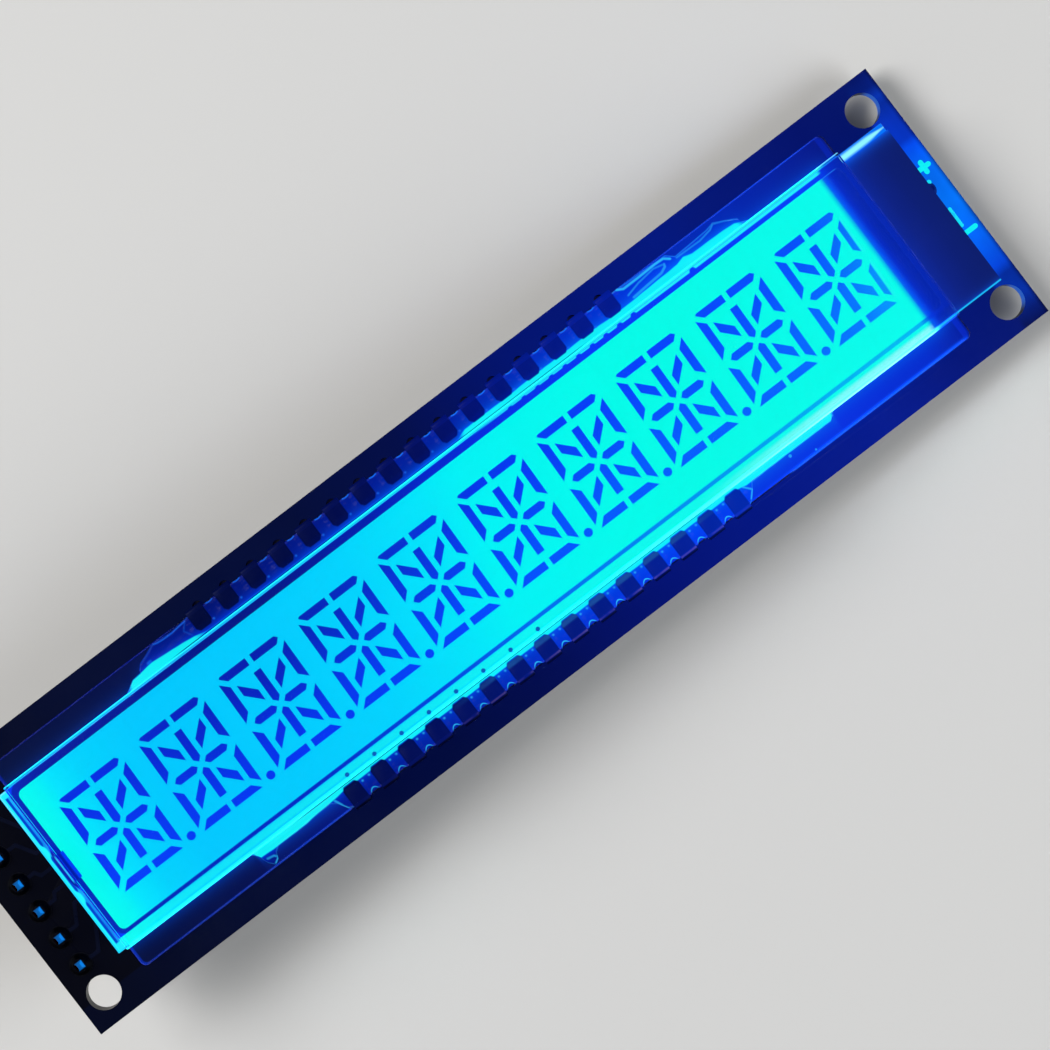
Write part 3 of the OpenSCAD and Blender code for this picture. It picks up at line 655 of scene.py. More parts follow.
@dataclass(frozen=True)
class RearPlate(ClearGlass):
    """The rear plate: light lies along the foot of the front plate and fades over the two ledges."""

    high_ledge: Tones = ramp(
        (-38.7, 0, 13, 58), (-28, 0, 11, 66), (-20, 0, 11, 70), (0, 0, 20, 104), (20, 0, 36, 170),
        (28, 0, 38, 178), (33, 1, 32, 164), (38.7, 3, 22, 130),
    )
    low_ledge: Tones = ramp(
        (-38.7, 1, 9, 52), (-28, 1, 9, 72), (-20, 1, 13, 116), (0, 1, 30, 150), (18, 1, 50, 225),
        (26, 4, 46, 226), (35, 0, 40, 203), (38.7, 0, 26, 150),
    )
    high_foot: Tones = ramp(
        (-38.7, 16, 190, 246), (-20, 22, 200, 250), (5, 22, 238, 252), (36.8, 36, 246, 240),
        (37.4, 6, 130, 226), (38.7, 2, 70, 200),
    )
    low_foot: Tones = ramp(
        (-38.7, 24, 236, 246), (5, 36, 242, 246), (33, 118, 250, 252), (36.8, 70, 236, 252),
        (37.2, 8, 110, 244), (38.7, 2, 80, 224),
    )
    beside: Colour = shown(2, 84, 236)
    outer: Colour = shown(3, 82, 246)
    foot_at: float = -0.13
    foot_starts: float = -38.65

    def light(self, graph: Graph) -> tuple[Socket, Term]:
        """Work out the light that the plate gives off.

        Args:
            graph: the material that is being built.

        Returns:
            Its colour and its strength.
        """
        x, _, z = graph.place
        across, out, nz = graph.across, graph.out, graph.facing[2]
        ledge = out.rise(-0.02, 0.03)
        strongest = (x.rise(-60.0, 20.0) * 0.8 + 0.1) * (across.rise(1.0, -1.0) * 0.5 + 0.5)
        past_cell = x.rise(GLASS.right, TAPE.left - 0.6)
        glow = ((out - self.resin(graph)).fade(0.42) * past_cell * strongest).at_most(1.0)
        colour = graph.blend(glow, graph.sided(self.low_ledge, self.high_ledge), self.beside)
        outer = out.rise(1.45, 1.86) * x.rise(19.0, 24.0) * x.rise(GLASS.right, GLASS.right - 1.2)
        colour = graph.blend(outer * across.rise(2.0, -2.0) * 0.8, colour, self.outer)
        # Uneven strength of the painted glow along the foot of the front plate.
        rough = graph.noise(0.8, 3.0, (6.0, 1.0, 1.0)) * 0.4 + 0.75
        foot = out.near(self.foot_at, 0.07, 0.06) * x.rise(self.foot_starts, self.foot_starts + 0.25)
        colour = graph.blend(foot, colour, graph.sided(self.low_foot, self.high_foot))
        top = nz.rise(0.97, 0.995) * z.rise(REAR_GLASS.top - 0.2, REAR_GLASS.top - 0.1)
        rim = abs(nz).rise(0.98, 0.80)
        colour = graph.blend(rim, colour, graph.sided(self.low_edge, self.high_edge))
        off_lamp_end = x.rise(GLASS.right - 0.05, GLASS.right - 0.8)
        return colour, (top * ledge.at_least(foot * rough)) + rim * self.bare(graph) * off_lamp_end

    def resin(self, graph: Graph) -> Term:
        """Work out how wide the resin's fillet is beside the plate.

        Args:
            graph: the material that is being built.

        Returns:
            The width, in millimetres.
        """
        x, across = graph.place[0], graph.across
        upper = contact_places(Side.UPPER)
        left_flow = x.near((upper[0] - 24.0) / 2 - 1.5, 2.0, 1.5) * 0.55
        right_flow = x.near((upper[-1] + 3.6) / 2 + 5.6, 12.5, 2.0) * 0.45
        below = x.near(-0.15, 26.8, 0.3) * 0.62
        return across.rise(-1.0, 1.0) * (left_flow + right_flow) + across.rise(1.0, -1.0) * below

    def bare(self, graph: Graph) -> Term:
        """Find where no contact or resin covers the outer edge of a ledge.

        Args:
            graph: the material that is being built.

        Returns:
            1 at those places and 0 at the others.
        """
        x, above = graph.place[0], graph.across.rise(-1.0, 1.0)
        upper, lower = contact_places(Side.UPPER), contact_places(Side.LOWER)
        covered_above = x.rise(upper[0] - 3.4, upper[0] - 1.2) * x.rise(upper[-1] + 1.6, upper[-1] + 0.8)
        covered_below = x.rise(lower[0] - 1.1, lower[0] - 0.8) * x.rise(lower[-1] + 5.2, lower[-1] + 4.2)
        return 1.0 - (covered_above * above).at_least(covered_below * (1.0 - above))


@dataclass(frozen=True)
class PolarizerFilm:
    """A thin film that is clear from above and glossy at a slant."""

    name: str = "polarizer_film"
    tint: Colour = shown(251, 254, 254)

    def material(self) -> Material:
        """Build the material.

        Returns:
            The new material.
        """
        graph = Graph(self.name)
        wipe = graph.noise(9.0, 4.0, (4.0, 1.0, 1.0))
        through = graph.node("BsdfTransparent", {"Color": self.tint})
        gloss = graph.node("BsdfGlossy", {"Color": shown(235, 240, 245), "Roughness": wipe * 0.08 + 0.05})
        fresnel = graph.node("Fresnel", {"IOR": 1.1})
        return graph.end(graph.node("MixShader", {
            0: fresnel.outputs[0], 1: through.outputs[0], 2: gloss.outputs[0],
        }))


@dataclass(frozen=True)
class Acrylic:
    """The light guide: a clear block with a bright left end and a bright strip beside the tape."""

    line: Colour = shown(28, 226, 254)
    bare: Colour = shown(150, 253, 252)
    beside_bare: Colour = shown(5, 116, 250)
    wall: Colour = shown(0, 120, 236)

    def material(self) -> Material:
        """Build the material.

        Returns:
            The new material.
        """
        graph = Graph("lit_acrylic")
        x, y, _ = graph.place
        _, _, nz = graph.facing
        streak = graph.noise(0.8, 3.0, (6.0, 6.0, 1.0))
        taper = x.rise(GUIDE.right, GUIDE.right - 1.8) * 0.7 + 0.3
        core = ((y - (TAPE.upper + GUIDE.upper) / 2 + 0.02) / taper).near(0.0, 0.08, 0.26)
        tip = x.rise(GUIDE.right + 0.1, GUIDE.right - 0.7) * 0.6 + 0.4
        strip = graph.blend(core * tip, self.beside_bare, self.bare)
        at_left = x.rise(GUIDE.left + 1.4, GUIDE.left + 1.2)
        upright = abs(nz).rise(0.8, 0.4)
        return graph.surface(
            colour=shown(0, 40, 90), rough=streak * 0.1 + 0.1, shine=0.2,
            glow=graph.blend(upright, graph.blend(at_left, strip, self.line), self.wall),
            strength=(streak * 0.25 + 0.8) * ((1.0 - upright) * 0.3 + 0.7),
            normal=graph.bump(streak, 0.01),
        )


@dataclass(frozen=True)
class DarkTape:
    """Dark tape over the lamp bay, with the glow that creeps over its edges."""

    glow: Tones = ramp(
        (36.9, 2, 118, 252), (37.15, 2, 80, 250), (37.5, 1, 46, 214), (37.9, 1, 40, 190),
        (38.5, 2, 38, 178), (38.8, 3, 37, 156), (39.4, 3, 34, 144), (40, 3, 30, 131), (41.5, 2, 26, 114),
        (43.1, 2, 25, 106),
    )
    beside_bare: Colour = shown(0, 96, 255)
    foot: Colour = shown(22, 186, 252)

    def material(self) -> Material:
        """Build the material.

        Returns:
            The new material.
        """
        graph = Graph("dark_tape")
        x, y, _ = graph.place
        fibre = graph.noise(0.5, 3.0, (1.0, 6.0, 1.0))
        crease = graph.noise(5.0, 3.0)
        upper = (TAPE.upper - y).fade(0.3) * x.rise(38.2, 38.8) * 0.75
        lower = (y - GUIDE.lower).fade(0.2) * 0.5
        colour = graph.blend(upper.at_least(lower).at_most(1.0), graph.tones(x, self.glow), self.beside_bare)
        colour = graph.blend((y - GUIDE.lower).rise(0.16, 0.08), colour, self.foot)
        return graph.surface(
            colour=graph.blend(crease, shown(2, 3, 8), shown(5, 5, 14)), rough=fibre * 0.2 + 0.5,
            shine=0.05, normal=graph.bump(fibre * 0.4 + crease, 0.02), glow=colour,
            strength=crease * 0.16 + 0.9,
        )


@dataclass(frozen=True)
class SheetMetal:
    """Tinned metal, dull on its flats and stained here and there."""

    name: str
    body: Colour
    roughness: float = 0.34
    grain: float = 0.12
    edge: Colour = (1.0, 1.0, 1.0)

    def material(self) -> Material:
        """Build the material.

        Returns:
            The new material.
        """
        graph = Graph(self.name)
        brushed = graph.noise(self.grain, 3.0, (1.0, 9.0, 1.0))
        stain = graph.noise(1.1, 4.0)
        colour, light, strength = self.light(graph, stain)
        return graph.surface(
            colour=colour, metallic=1.0, edge=self.edge, rough=brushed * 0.22 + (self.roughness - 0.1),
            normal=graph.bump(brushed * 0.6 + stain * 0.4, 0.006), glow=light, strength=strength,
        )

    def light(self, graph: Graph, stain: Term) -> tuple[object, object, object]:
        """The metal's colour, then the colour and the strength of the light on it."""
        return graph.blend(stain.rise(0.35, 0.7), self.body, scaled(self.body, 0.55)), (0.0, 0.0, 0.0), 0.0


@dataclass(frozen=True)
class ContactMetal(SheetMetal):
    """The tin of the contacts, painted dark as shade, with a painted highlight along the bend and painted
    light from the cell.
    """

    edge: Colour = (0.12, 0.12, 0.16)
    bend_glint: Colour = shown(84, 66, 60)
    bend_glint_at: float = 1.89
    lit_at: float = 0.48
    near_cell: Colour = shown(30, 92, 178)
    high_cast: Tones = ramp(
        (-19.7, 0, 8, 58), (-9.5, 0, 9, 72), (0.7, 0, 13, 98), (5.8, 0, 18, 124), (10.8, 1, 24, 138),
        (18.5, 1, 27, 152),
    )
    low_cast: Tones = ramp(
        (-18.4, 0, 10, 76), (-8.2, 0, 16, 104), (1.9, 1, 27, 136), (12.1, 2, 35, 166), (17.2, 0, 44, 186),
    )

    def light(self, graph: Graph, stain: Term) -> tuple[object, object, object]:
        """Work out how the metal looks in the light of the module.

        Args:
            graph: the material that is being built.
            stain: the metal's slow mottle, from 0 to 1.

        Returns:
            The metal's colour, then the colour and the strength of the light on it.
        """
        (x, _, z), out = graph.place, graph.out
        lower = graph.across.rise(1.0, -1.0)
        # Painted highlight: a brownish glint of the lamps along the outer bend of the lower contacts.
        bend = out.near(self.bend_glint_at, 0.04, 0.05) * stain.rise(0.3, 0.6) * lower * x.near(4.0, 9.0, 6.0)
        stained = graph.blend(stain.rise(0.35, 0.7), self.body, scaled(self.body, 0.6))
        colour = graph.blend(bend, stained, self.bend_glint)
        cast = graph.blend(lower, graph.tones(x, self.high_cast), graph.tones(x, self.low_cast))
        inner = out.near(self.lit_at, 0.1, 0.22) * lower * x.near(4.0, 6.0, 8.0) * (stain * 0.8 + 0.35)
        cast = graph.blend(inner.at_most(1.0), cast, self.near_cell)
        past_bend = out.rise(1.93, 2.05) * (lower * 0.75 + 0.1)
        above_board = z.rise(1.2, 2.4)
        return colour, cast, (1.0 - past_bend + (1.0 - lower) * out.rise(1.0, 0.5) * 0.3) * above_board


@dataclass(frozen=True)
class LampWire(SheetMetal):
    """Dark tin of the lamp leads: one in shade, one in the light."""

    shade: Colour = shown(2, 20, 92)
    lit: Colour = shown(20, 200, 250)

    def light(self, graph: Graph, stain: Term) -> tuple[object, object, object]:
        """The metal's colour, then the colour and the strength of the light on it."""
        _, y, z = graph.place
        return self.body, graph.blend(y.rise(0.2, -0.2), self.shade, self.lit), z.rise(0.0, 1.6)


@dataclass(frozen=True)
class PinPlating(SheetMetal):
    """Gold plating, painted dark above the board as shade, with a painted reflection of the lit end of the
    light guide on its tips.
    """

    front_shade: Colour = shown(10, 12, 22)

    def light(self, graph: Graph, stain: Term) -> tuple[object, object, object]:
        """Work out how the metal looks in the light of the module.

        Args:
            graph: the material that is being built.
            stain: the metal's slow mottle, from 0 to 1.

        Returns:
            The metal's colour, then the colour and the strength of the light on it.
        """
        nx, z = graph.facing[0], graph.place[2]
        # Painted shade darkens the pins above the board; their tips get a painted reflection of the lit guide
        # end.
        tip = z.rise(1.95, 2.45) * (nx * 0.55 + 0.42)
        return graph.blend(z.rise(0.8, 1.6), self.body, self.front_shade), shown(15, 136, 246), tip


@dataclass(frozen=True)
class Solder:
    """Satin solder with a slightly frosted skin."""

    name: str = "solder"
    dull: Colour = shown(150, 152, 158)
    bright: Colour = shown(206, 207, 210)

    def material(self) -> Material:
        """Build the material.

        Returns:
            The new material.
        """
        graph = Graph(self.name)
        frost = graph.noise(0.18, 4.0)
        flow = graph.noise(0.9, 2.0)
        return graph.surface(
            colour=graph.blend(frost, self.dull, self.bright), metallic=1.0, rough=frost * 0.3 + 0.18,
            normal=graph.bump(flow * 0.7 + frost * 0.3, 0.012),
        )


@dataclass(frozen=True)
class Moulded:
    """A moulded plastic or epoxy part, slightly mottled."""

    name: str
    body: Colour
    roughness: float = 0.5
    grain: float = 0.12
    depth: float = 0.008

    def material(self) -> Material:
        """Build the material.

        Returns:
            The new material.
        """
        graph = Graph(self.name)
        fine = graph.noise(self.grain, 4.0)
        broad = graph.noise(2.2, 3.0)
        return graph.surface(
            colour=graph.blend(broad, self.body, scaled(self.body, 1.35)),
            rough=fine * 0.18 + (self.roughness - 0.09), shine=0.4, normal=graph.bump(fine, self.depth),
        )


@dataclass(frozen=True)
class GlowingPaste:
    """Thick paste that glows with painted light from the backlight: marking ink, or small beads for a painted
    glint.
    """

    name: str = "marking_ink"
    light: Colour = shown(6, 244, 250)

    def material(self) -> Material:
        """Build the material.

        Returns:
            The new material.
        """
        graph = Graph(self.name)
        grit = graph.noise(0.12, 3.0)
        return graph.surface(
            colour=shown(4, 60, 66), rough=grit * 0.2 + 0.5, shine=0.1, normal=graph.bump(grit, 0.01),
            glow=self.light, strength=grit * 0.25 + 0.8,
        )


@dataclass(frozen=True)
class LampSolder:
    """The two domes of solder at the lamp leads: one in shade, one in the light of the board."""

    shade: Colour = shown(2, 22, 96)
    lit: Colour = shown(2, 108, 250)

    def material(self) -> Material:
        """Build the material.

        Returns:
            The new material.
        """
        graph = Graph("lamp_solder")
        _, y, _ = graph.place
        frost = graph.noise(0.18, 4.0)
        return graph.surface(
            colour=shown(20, 24, 48), metallic=1.0, rough=frost * 0.3 + 0.25,
            normal=graph.bump(frost, 0.012), glow=graph.blend(y.rise(0.2, -0.2), self.shade, self.lit),
            strength=0.9 + frost * 0.2,
        )


@dataclass(frozen=True)
class Copper:
    """A printed conductor under the solder mask: the mask's colour, a little lighter."""

    name: str
    body: Colour

    def material(self) -> Material:
        """Build the material.

        Returns:
            The new material.
        """
        graph = Graph(self.name)
        skin = graph.noise(1.5, 3.0)
        return graph.surface(
            colour=graph.blend(skin, self.body, scaled(self.body, 1.4)), rough=skin * 0.1 + 0.24,
            shine=0.12, normal=graph.bump(skin, 0.004),
        )


@dataclass(frozen=True)
class PlugResin:
    """The dark bead in the fill port, with a bright lens-shaped line where it bulges."""

    dark: Colour = shown(0, 28, 168)
    lit: Colour = shown(0, 60, 246)
    line: Colour = shown(34, 190, 252)

    def material(self) -> Material:
        """Build the material.

        Returns:
            The new material.
        """
        graph = Graph("plug_resin")
        x, y, _ = graph.place
        swell = (y - Extent.of("fill_port_plug").line) / 1.3
        lens = (x - (GLASS.left - 0.10)).near(0.0, 0.03, 0.06) * (1.0 - swell * swell).rise(-0.1, 0.5)
        inside = x.rise(GLASS.left + 0.22, GLASS.left + 0.36)
        cloud = graph.noise(0.7, 2.0)
        body = graph.blend(inside.at_least(abs(swell).rise(1.1, 1.5)), self.dark, self.lit)
        return graph.surface(
            colour=shown(1, 6, 36), rough=cloud * 0.1 + 0.2, shine=0.15,
            glow=graph.blend(lens, body, self.line), strength=cloud * 0.2 + 0.88,
            normal=graph.bump(cloud, 0.01),
        )


RESIN_STORES = ("fillet", "reach", "mark", "lip", "cover")


@dataclass(frozen=True)
class ClearResin:
    """Clear resin that carries the light of the cell: bright in its fillet, blue between the contacts."""

    narrow: Colour = shown(5, 116, 240)
    wide: Colour = shown(18, 246, 250)
    caught: Colour = shown(40, 188, 252)
    caught_high: Colour = shown(16, 108, 246)
    high_layer: Tones = ramp(
        (-27, 2, 20, 130), (-18.4, 1, 16, 110), (-8.2, 1, 21, 132), (2, 1, 28, 152), (7, 2, 37, 172),
        (17.2, 0, 44, 200), (23, 2, 54, 228), (30, 1, 40, 186),
    )
    low_layer: Tones = ramp(
        (-26, 1, 16, 110), (-17.1, 0, 22, 138), (-7, 1, 36, 168), (3.2, 2, 50, 214), (13.4, 0, 58, 236),
        (26, 4, 50, 228),
    )
    near_left: Colour = shown(3, 52, 210)
    near_right: Colour = shown(3, 96, 252)

    def material(self) -> Material:
        """Build the material.

        Returns:
            The new material.
        """
        graph = Graph("clear_resin")
        x, out = graph.place[0], graph.out
        fillet, reach, mark, lip, cover = (graph.stored(name) for name in RESIN_STORES)
        flow = graph.noise(0.9, 3.0, (5.0, 1.0, 1.0))
        crest = (out - fillet).rise(0.05, -0.07) * (1.0 - cover)
        foot = out.near(0.03, 0.045, 0.04) * (x.rise(8.0, -16.0) * 0.2 + 0.62) * x.near(-3.8, 17.8, 2.0)
        layer = graph.sided(self.low_layer, self.high_layer)
        spill = ((out - fillet).fade(0.34) * (flow * 0.4 + 0.7)).at_most(1.0)
        colour = graph.blend(spill, layer, graph.blend(x.rise(-20.0, 16.0), self.near_left, self.near_right))
        colour = graph.blend(crest, colour, graph.blend(fillet.rise(0.16, 0.42), self.narrow, self.wide))
        toward_lamps = x.rise(-26.0, 8.0) * 0.4 + 0.6
        line = ((reach - out).near(0.06, 0.03, 0.05) * lip * toward_lamps).at_least(mark).at_most(1.0)
        between_contacts = graph.across.rise(-1.0, 1.0) * x.near(-3.6, 22.6, 0.1)
        colour = graph.blend(line, colour, graph.blend(between_contacts, self.caught, self.caught_high))
        strength = (1.0 - crest * foot) * (1.0 - cover * 0.97) * (flow * 0.2 + 0.9)
        return graph.surface(
            colour=shown(1, 6, 28), rough=flow * 0.08 + 0.24, shine=0.03, glow=colour, strength=strength,
            alpha=0.92 - cover * 0.72, normal=graph.bump(flow, 0.012),
        )


# ---------- meshes ----------


def circle(x: float, y: float, radius: float, steps: int) -> list[Point]:
    """The corners of a circle round x and y."""
    turns = (2 * math.pi * step / steps for step in range(steps))
    return [(x + radius * math.cos(turn), y + radius * math.sin(turn)) for turn in turns]


class Shape:
    """A mesh that is put together from simple closed forms, in millimetres."""

    def __init__(self) -> None:
        """Start with nothing."""
        self.mesh = bmesh.new()

    def loop(self, points: Sequence[Point], level: float) -> list[Vertex]:
        """Set a vertex at each point of an outline, all at one level."""
        return [self.mesh.verts.new((x * MM, y * MM, level * MM)) for x, y in points]

    def skin(self, loops: Sequence[list[Vertex]]) -> None:
        """Span faces from each loop of vertices to the next.

        Args:
            loops: rows of vertices, each with as many as the others.
        """
        for here, after in zip(loops, loops[1:]):
            for index, corner in enumerate(here):
                ahead = (index + 1) % len(here)
                self.mesh.faces.new((corner, here[ahead], after[ahead], after[index]))

    def prism(self, outline: Sequence[Point], low: float, high: float) -> None:
        """Add a closed upright form.

        Args:
            outline: its corners seen from above, anticlockwise.
            low, high: the levels of its two faces.
        """
        bottom, top = self.loop(outline, low), self.loop(outline, high)
        self.mesh.faces.new(list(reversed(bottom)))
        self.mesh.faces.new(top)
        self.skin([bottom, top])

    def ring(self, x: float, y: float, radii: Point, low: float, high: float) -> None:
        """Add a flat ring.

        Args:
            x, y: its middle.
            radii: its inner and its outer one.
            low, high: the levels of its two faces.
        """
        inner, outer = radii
        levels = ((outer, low), (outer, high), (inner, high), (inner, low))
        loops = [self.loop(circle(x, y, radius, 32), level) for radius, level in levels]
        self.skin(loops + loops[:1])

    def dome(self, x: float, y: float, radius: float, height: float, level: float) -> None:
        """Add a low closed dome.

        Args:
            x, y: its middle.
            radius: how far its foot reaches.
            height: how high it stands.
            level: the level of its foot.
        """
        around, rings = 14, 5
        rises = [math.pi / 2 * ring / rings for ring in range(rings)]
        loops = [
            self.loop(circle(x, y, radius * math.cos(rise), around), level + height * math.sin(rise))
            for rise in rises
        ]
        top = self.mesh.verts.new((x * MM, y * MM, (level + height) * MM))
        self.mesh.faces.new(list(reversed(loops[0])))
        self.skin(loops)
        for step in range(around):
            self.mesh.faces.new((loops[-1][step], loops[-1][(step + 1) % around], top))

    def ribbon(self, points: Sequence[Point], width: float, low: float, high: float) -> None:
        """Add a flat ribbon with mitred corners.

        Args:
            points: its middle line.
            width: how wide it is.
            low, high: the levels of its two faces.
        """
        left, right = [], []
        for index, point in enumerate(points):
            here = Vector(point)
            before = (here - Vector(points[index - 1])).normalized() if index else None
            after = (Vector(points[index + 1]) - here).normalized() if index < len(points) - 1 else None
            along = ((before or after) + (after or before)).normalized()
            side = Vector((-along.y, along.x))
            reach = width / 2 / max(0.5, along.dot(before or after))
            left.append(tuple(here + side * reach))
            right.append(tuple(here - side * reach))
        self.prism(right + left[::-1], low, high)

    def piece(self, name: str, finish: object, slot: str, smooth: float = 0.0) -> bpy.types.Object:
        """Turn the mesh into a piece that rides on the module.

        Args:
            name: the piece's name.
            finish: the finish that it gets.
            slot: not used.
            smooth: the largest angle, in degrees, that is shaded as a curve.

        Returns:
            The new object.
        """
        bmesh.ops.recalc_face_normals(self.mesh, faces=self.mesh.faces)
        data = bpy.data.meshes.new(name)
        self.mesh.to_mesh(data)
        self.mesh.free()
        made = placed(name, data)
        data.materials.append(finish.material())
        if smooth:
            data.shade_smooth()
            data.set_sharp_from_angle(angle=math.radians(smooth))
        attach(made, "root")
        LOG.info("added %s: %d faces", name, len(data.polygons))
        return made


def placed(name: str, data: bpy.types.ID) -> bpy.types.Object:
    """Put a new object with that data into the scene.

    Args:
        name: the object's name.
        data: its mesh, lamp or camera.

    Returns:
        The new object.
    """
    made = bpy.data.objects.new(name, data)
    bpy.context.scene.collection.objects.link(made)
    return made


def dress(finish: object, *nodes: str) -> None:
    """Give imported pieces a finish.

    Args:
        finish: the finish; its material is made once for all of them.
        nodes: the names of the pieces.
    """
    material = finish.material()
    for name in nodes:
        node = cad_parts[name]
        if not node.material_slots:
            node.data.materials.append(material)
        for slot in node.material_slots:
            slot.material = material
        LOG.info("dressed %s with %s", name, material.name)


def refine(node: str, finish: object, slot: str, edge: float, steps: int = 2) -> bpy.types.Object:
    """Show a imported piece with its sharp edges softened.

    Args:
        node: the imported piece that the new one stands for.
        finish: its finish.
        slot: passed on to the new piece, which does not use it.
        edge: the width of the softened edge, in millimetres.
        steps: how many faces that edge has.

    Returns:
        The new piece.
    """
    shape = Shape()
    mesh = shape.mesh
    mesh.from_mesh(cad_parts[node].data)
    bmesh.ops.remove_doubles(mesh, verts=mesh.verts, dist=WELD)
    bmesh.ops.dissolve_limit(mesh, angle_limit=math.radians(2.0), verts=mesh.verts, edges=mesh.edges)
    sharp = [e for e in mesh.edges if len(e.link_faces) == 2 and e.calc_face_angle() > math.radians(35)]
    bmesh.ops.bevel(
        mesh, geom=sharp, offset=edge * MM, segments=steps, profile=0.5, affect="EDGES", clamp_overlap=True,
    )
    made = shape.piece(node + "_finished", finish, slot, smooth=32.0)
    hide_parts(node)
    return made


# ---------- sub-assemblies ----------


class Side(Enum):
    """The two long sides of the module."""

    UPPER = 1
    LOWER = -1


@dataclass
class Board:
    """The circuit board with its pads, printed tracks and signs."""

    track: float = 0.13
    copper: float = 0.03
    ink: float = 0.02
    pad: float = 0.028
    pin_pad: Point = (0.42, 0.92)
    lead_pad: Point = (0.35, 0.85)
    lead_pitch: float = 0.5
    under_chip: float = 0.3
    bead_pitch: float = 0.19
    sign_size: float = 1.25
    sign_stroke: float = 0.4
    sign_reach: float = 2.98
    sign_x: float = 44.12

    def build(self) -> None:
        """Dress the board and add what is printed on it."""
        refine("circuit_board", SolderMask(), "board", 0.05, 1)
        self.signs()
        self.solder_glint()
        self.pads()
        self.back_tracks()
        self.front_tracks()

    def signs(self) -> None:
        """Print a plus and a minus beside the lamp leads."""
        shape = Shape()
        for y, arms in ((self.sign_reach - 0.09, 4), (-self.sign_reach - 0.03, 2)):
            outline = self.arms(self.sign_x, y, arms)
            shape.prism(outline, BOARD.top, BOARD.top + self.ink)
        # The printed signs glow with painted light from the backlight.
        shape.piece("printed_signs", GlowingPaste(), "white_film")

    def arms(self, x: float, y: float, count: int) -> list[Point]:
        """Draw a sign with two or four round-ended arms.

        Args:
            x, y: its middle.
            count: how many arms it has.

        Returns:
            Its corners, anticlockwise.
        """
        steps = 6
        half = self.sign_stroke / 2
        reach = self.sign_size / 2 - half
        corners = []
        for arm in range(count):
            turn = 2 * math.pi * arm / count
            for step in range(steps + 1):
                bend = turn - math.pi / 2 + math.pi * step / steps
                corners.append((
                    x + reach * math.cos(turn) + half * math.cos(bend),
                    y + reach * math.sin(turn) + half * math.sin(bend),
                ))
            if count == 4:
                inner = turn + math.pi / 4
                corners.append((
                    x + half * math.sqrt(2) * math.cos(inner),
                    y + half * math.sqrt(2) * math.sin(inner),
                ))
        return corners

    def solder_glint(self) -> None:
        """Set small glowing beads beside the domes of solder at the lamp leads: a painted glint of light on
        the solder.
        """
        shape = Shape()
        x, start, end = LEAD_COLUMN + 0.46, -0.83, -2.34
        ridge = BOARD.top + 0.34
        shape.ribbon(((x, start), (x, end)), 0.18, BOARD.top, ridge + 0.01)
        for index in range(round((start - end) / self.bead_pitch) + 1):
            shape.dome(x, start - index * self.bead_pitch, 0.15, 0.1, ridge)
        shape.dome(x + 0.02, LEAD_ROWS[0] + 0.46, 0.2, 0.2, BOARD.top)
        # The beads glow as a painted glint of the light on the solder domes.
        shape.piece("solder_glint_beads", GlowingPaste("painted_solder_glint", shown(16, 230, 252)), "clear_resin", 60.0)

    def pads(self) -> None:
        """Add the tinned rings round the header pins and the lamp leads."""
        front, back = Shape(), Shape()
        for y in PIN_ROWS:
            front.ring(PIN_COLUMN, y, self.pin_pad, BOARD.top, BOARD.top + self.pad)
            back.ring(PIN_COLUMN, y, self.pin_pad, BOARD.bottom - self.pad, BOARD.bottom)
        for y in LEAD_ROWS:
            back.ring(LEAD_COLUMN, y, self.lead_pad, BOARD.bottom - self.pad, BOARD.bottom)
        front.piece("front_pads", SHADED_HEADER_SOLDER, "solder", 30.0)
        back.piece("back_pads", Solder(), "solder", 30.0)

    def front_tracks(self) -> None:
        """Run the conductors from the header pins in under the light guide."""
        lines = []
        for row, y in enumerate(PIN_ROWS):
            target = y * 0.62
            knee = PIN_COLUMN + 1.4 + abs(row - 2.5) * 0.12
            bend = knee + abs(y - target) * 0.6
            points = [(PIN_COLUMN + 0.85, y), (knee, y), (bend, target), (GUIDE.left + 0.6, target)]
            lines.append((0.3, points))
        self.tracks("front_tracks", Copper("masked_copper", shown(3, 7, 26)), BOARD.top, lines)

    def back_tracks(self) -> None:
        """Fan the conductors out from the driver chip behind the board."""
        chip = Extent.of("chip_leads")
        middle = (chip.left + chip.right) / 2
        lines = [line for side in Side for line in self.fan(side, middle, chip.half)]
        lines += self.header_lines(middle - chip.half + self.under_chip)
        lines += self.lamp_lines(middle + chip.half - self.under_chip)
        copper = Copper("masked_copper_behind", shown(9, 24, 74))
        self.tracks("back_tracks", copper, BOARD.bottom - self.copper, lines)

    def tracks(self, name: str, finish: Copper, level: float, lines: Sequence[Track]) -> None:
        """Print conductors on one face of the board.

        Args:
            name: the piece's name.
            finish: its finish.
            level: the level of its lower face.
            lines: the width and the points of each conductor.
        """
        shape = Shape()
        for width, points in lines:
            shape.ribbon(points, width, level, level + self.copper)
        shape.piece(name, finish, "board")

    def fan(self, side: Side, middle: float, reach: float) -> list[Track]:
        """Run a track from each chip lead of one side to its contact, without a crossing.

        Args:
            side: the side of the module.
            middle: where the chip's middle is along the board.
            reach: how far its leads reach from there, across the board.

        Returns:
            The tracks, from left to right.
        """
        contacts, leg_y, sign = contact_places(side), contact_line(side), side.value
        leads = [middle + (index - 7.5) * self.lead_pitch for index in range(len(contacts))]
        first, last = sign * (reach + 0.35), leg_y - sign * 1.0
        leftward = sum(contact < lead for lead, contact in zip(leads, contacts))
        step = (last - first) / max(1, leftward - 1)
        lines = []
        for index, (lead, contact) in enumerate(zip(leads, contacts)):
            order = index if index < leftward else len(contacts) - 1 - index
            y = first + order * step
            way = -1 if contact < lead else 1
            cut = min(0.2, abs(contact - lead) / 3)
            lines.append((self.track, [
                (lead, sign * (reach - self.under_chip)), (lead, y - sign * cut), (lead + way * cut, y),
                (contact - way * cut, y), (contact, y + sign * cut), (contact, leg_y),
            ]))
        return lines

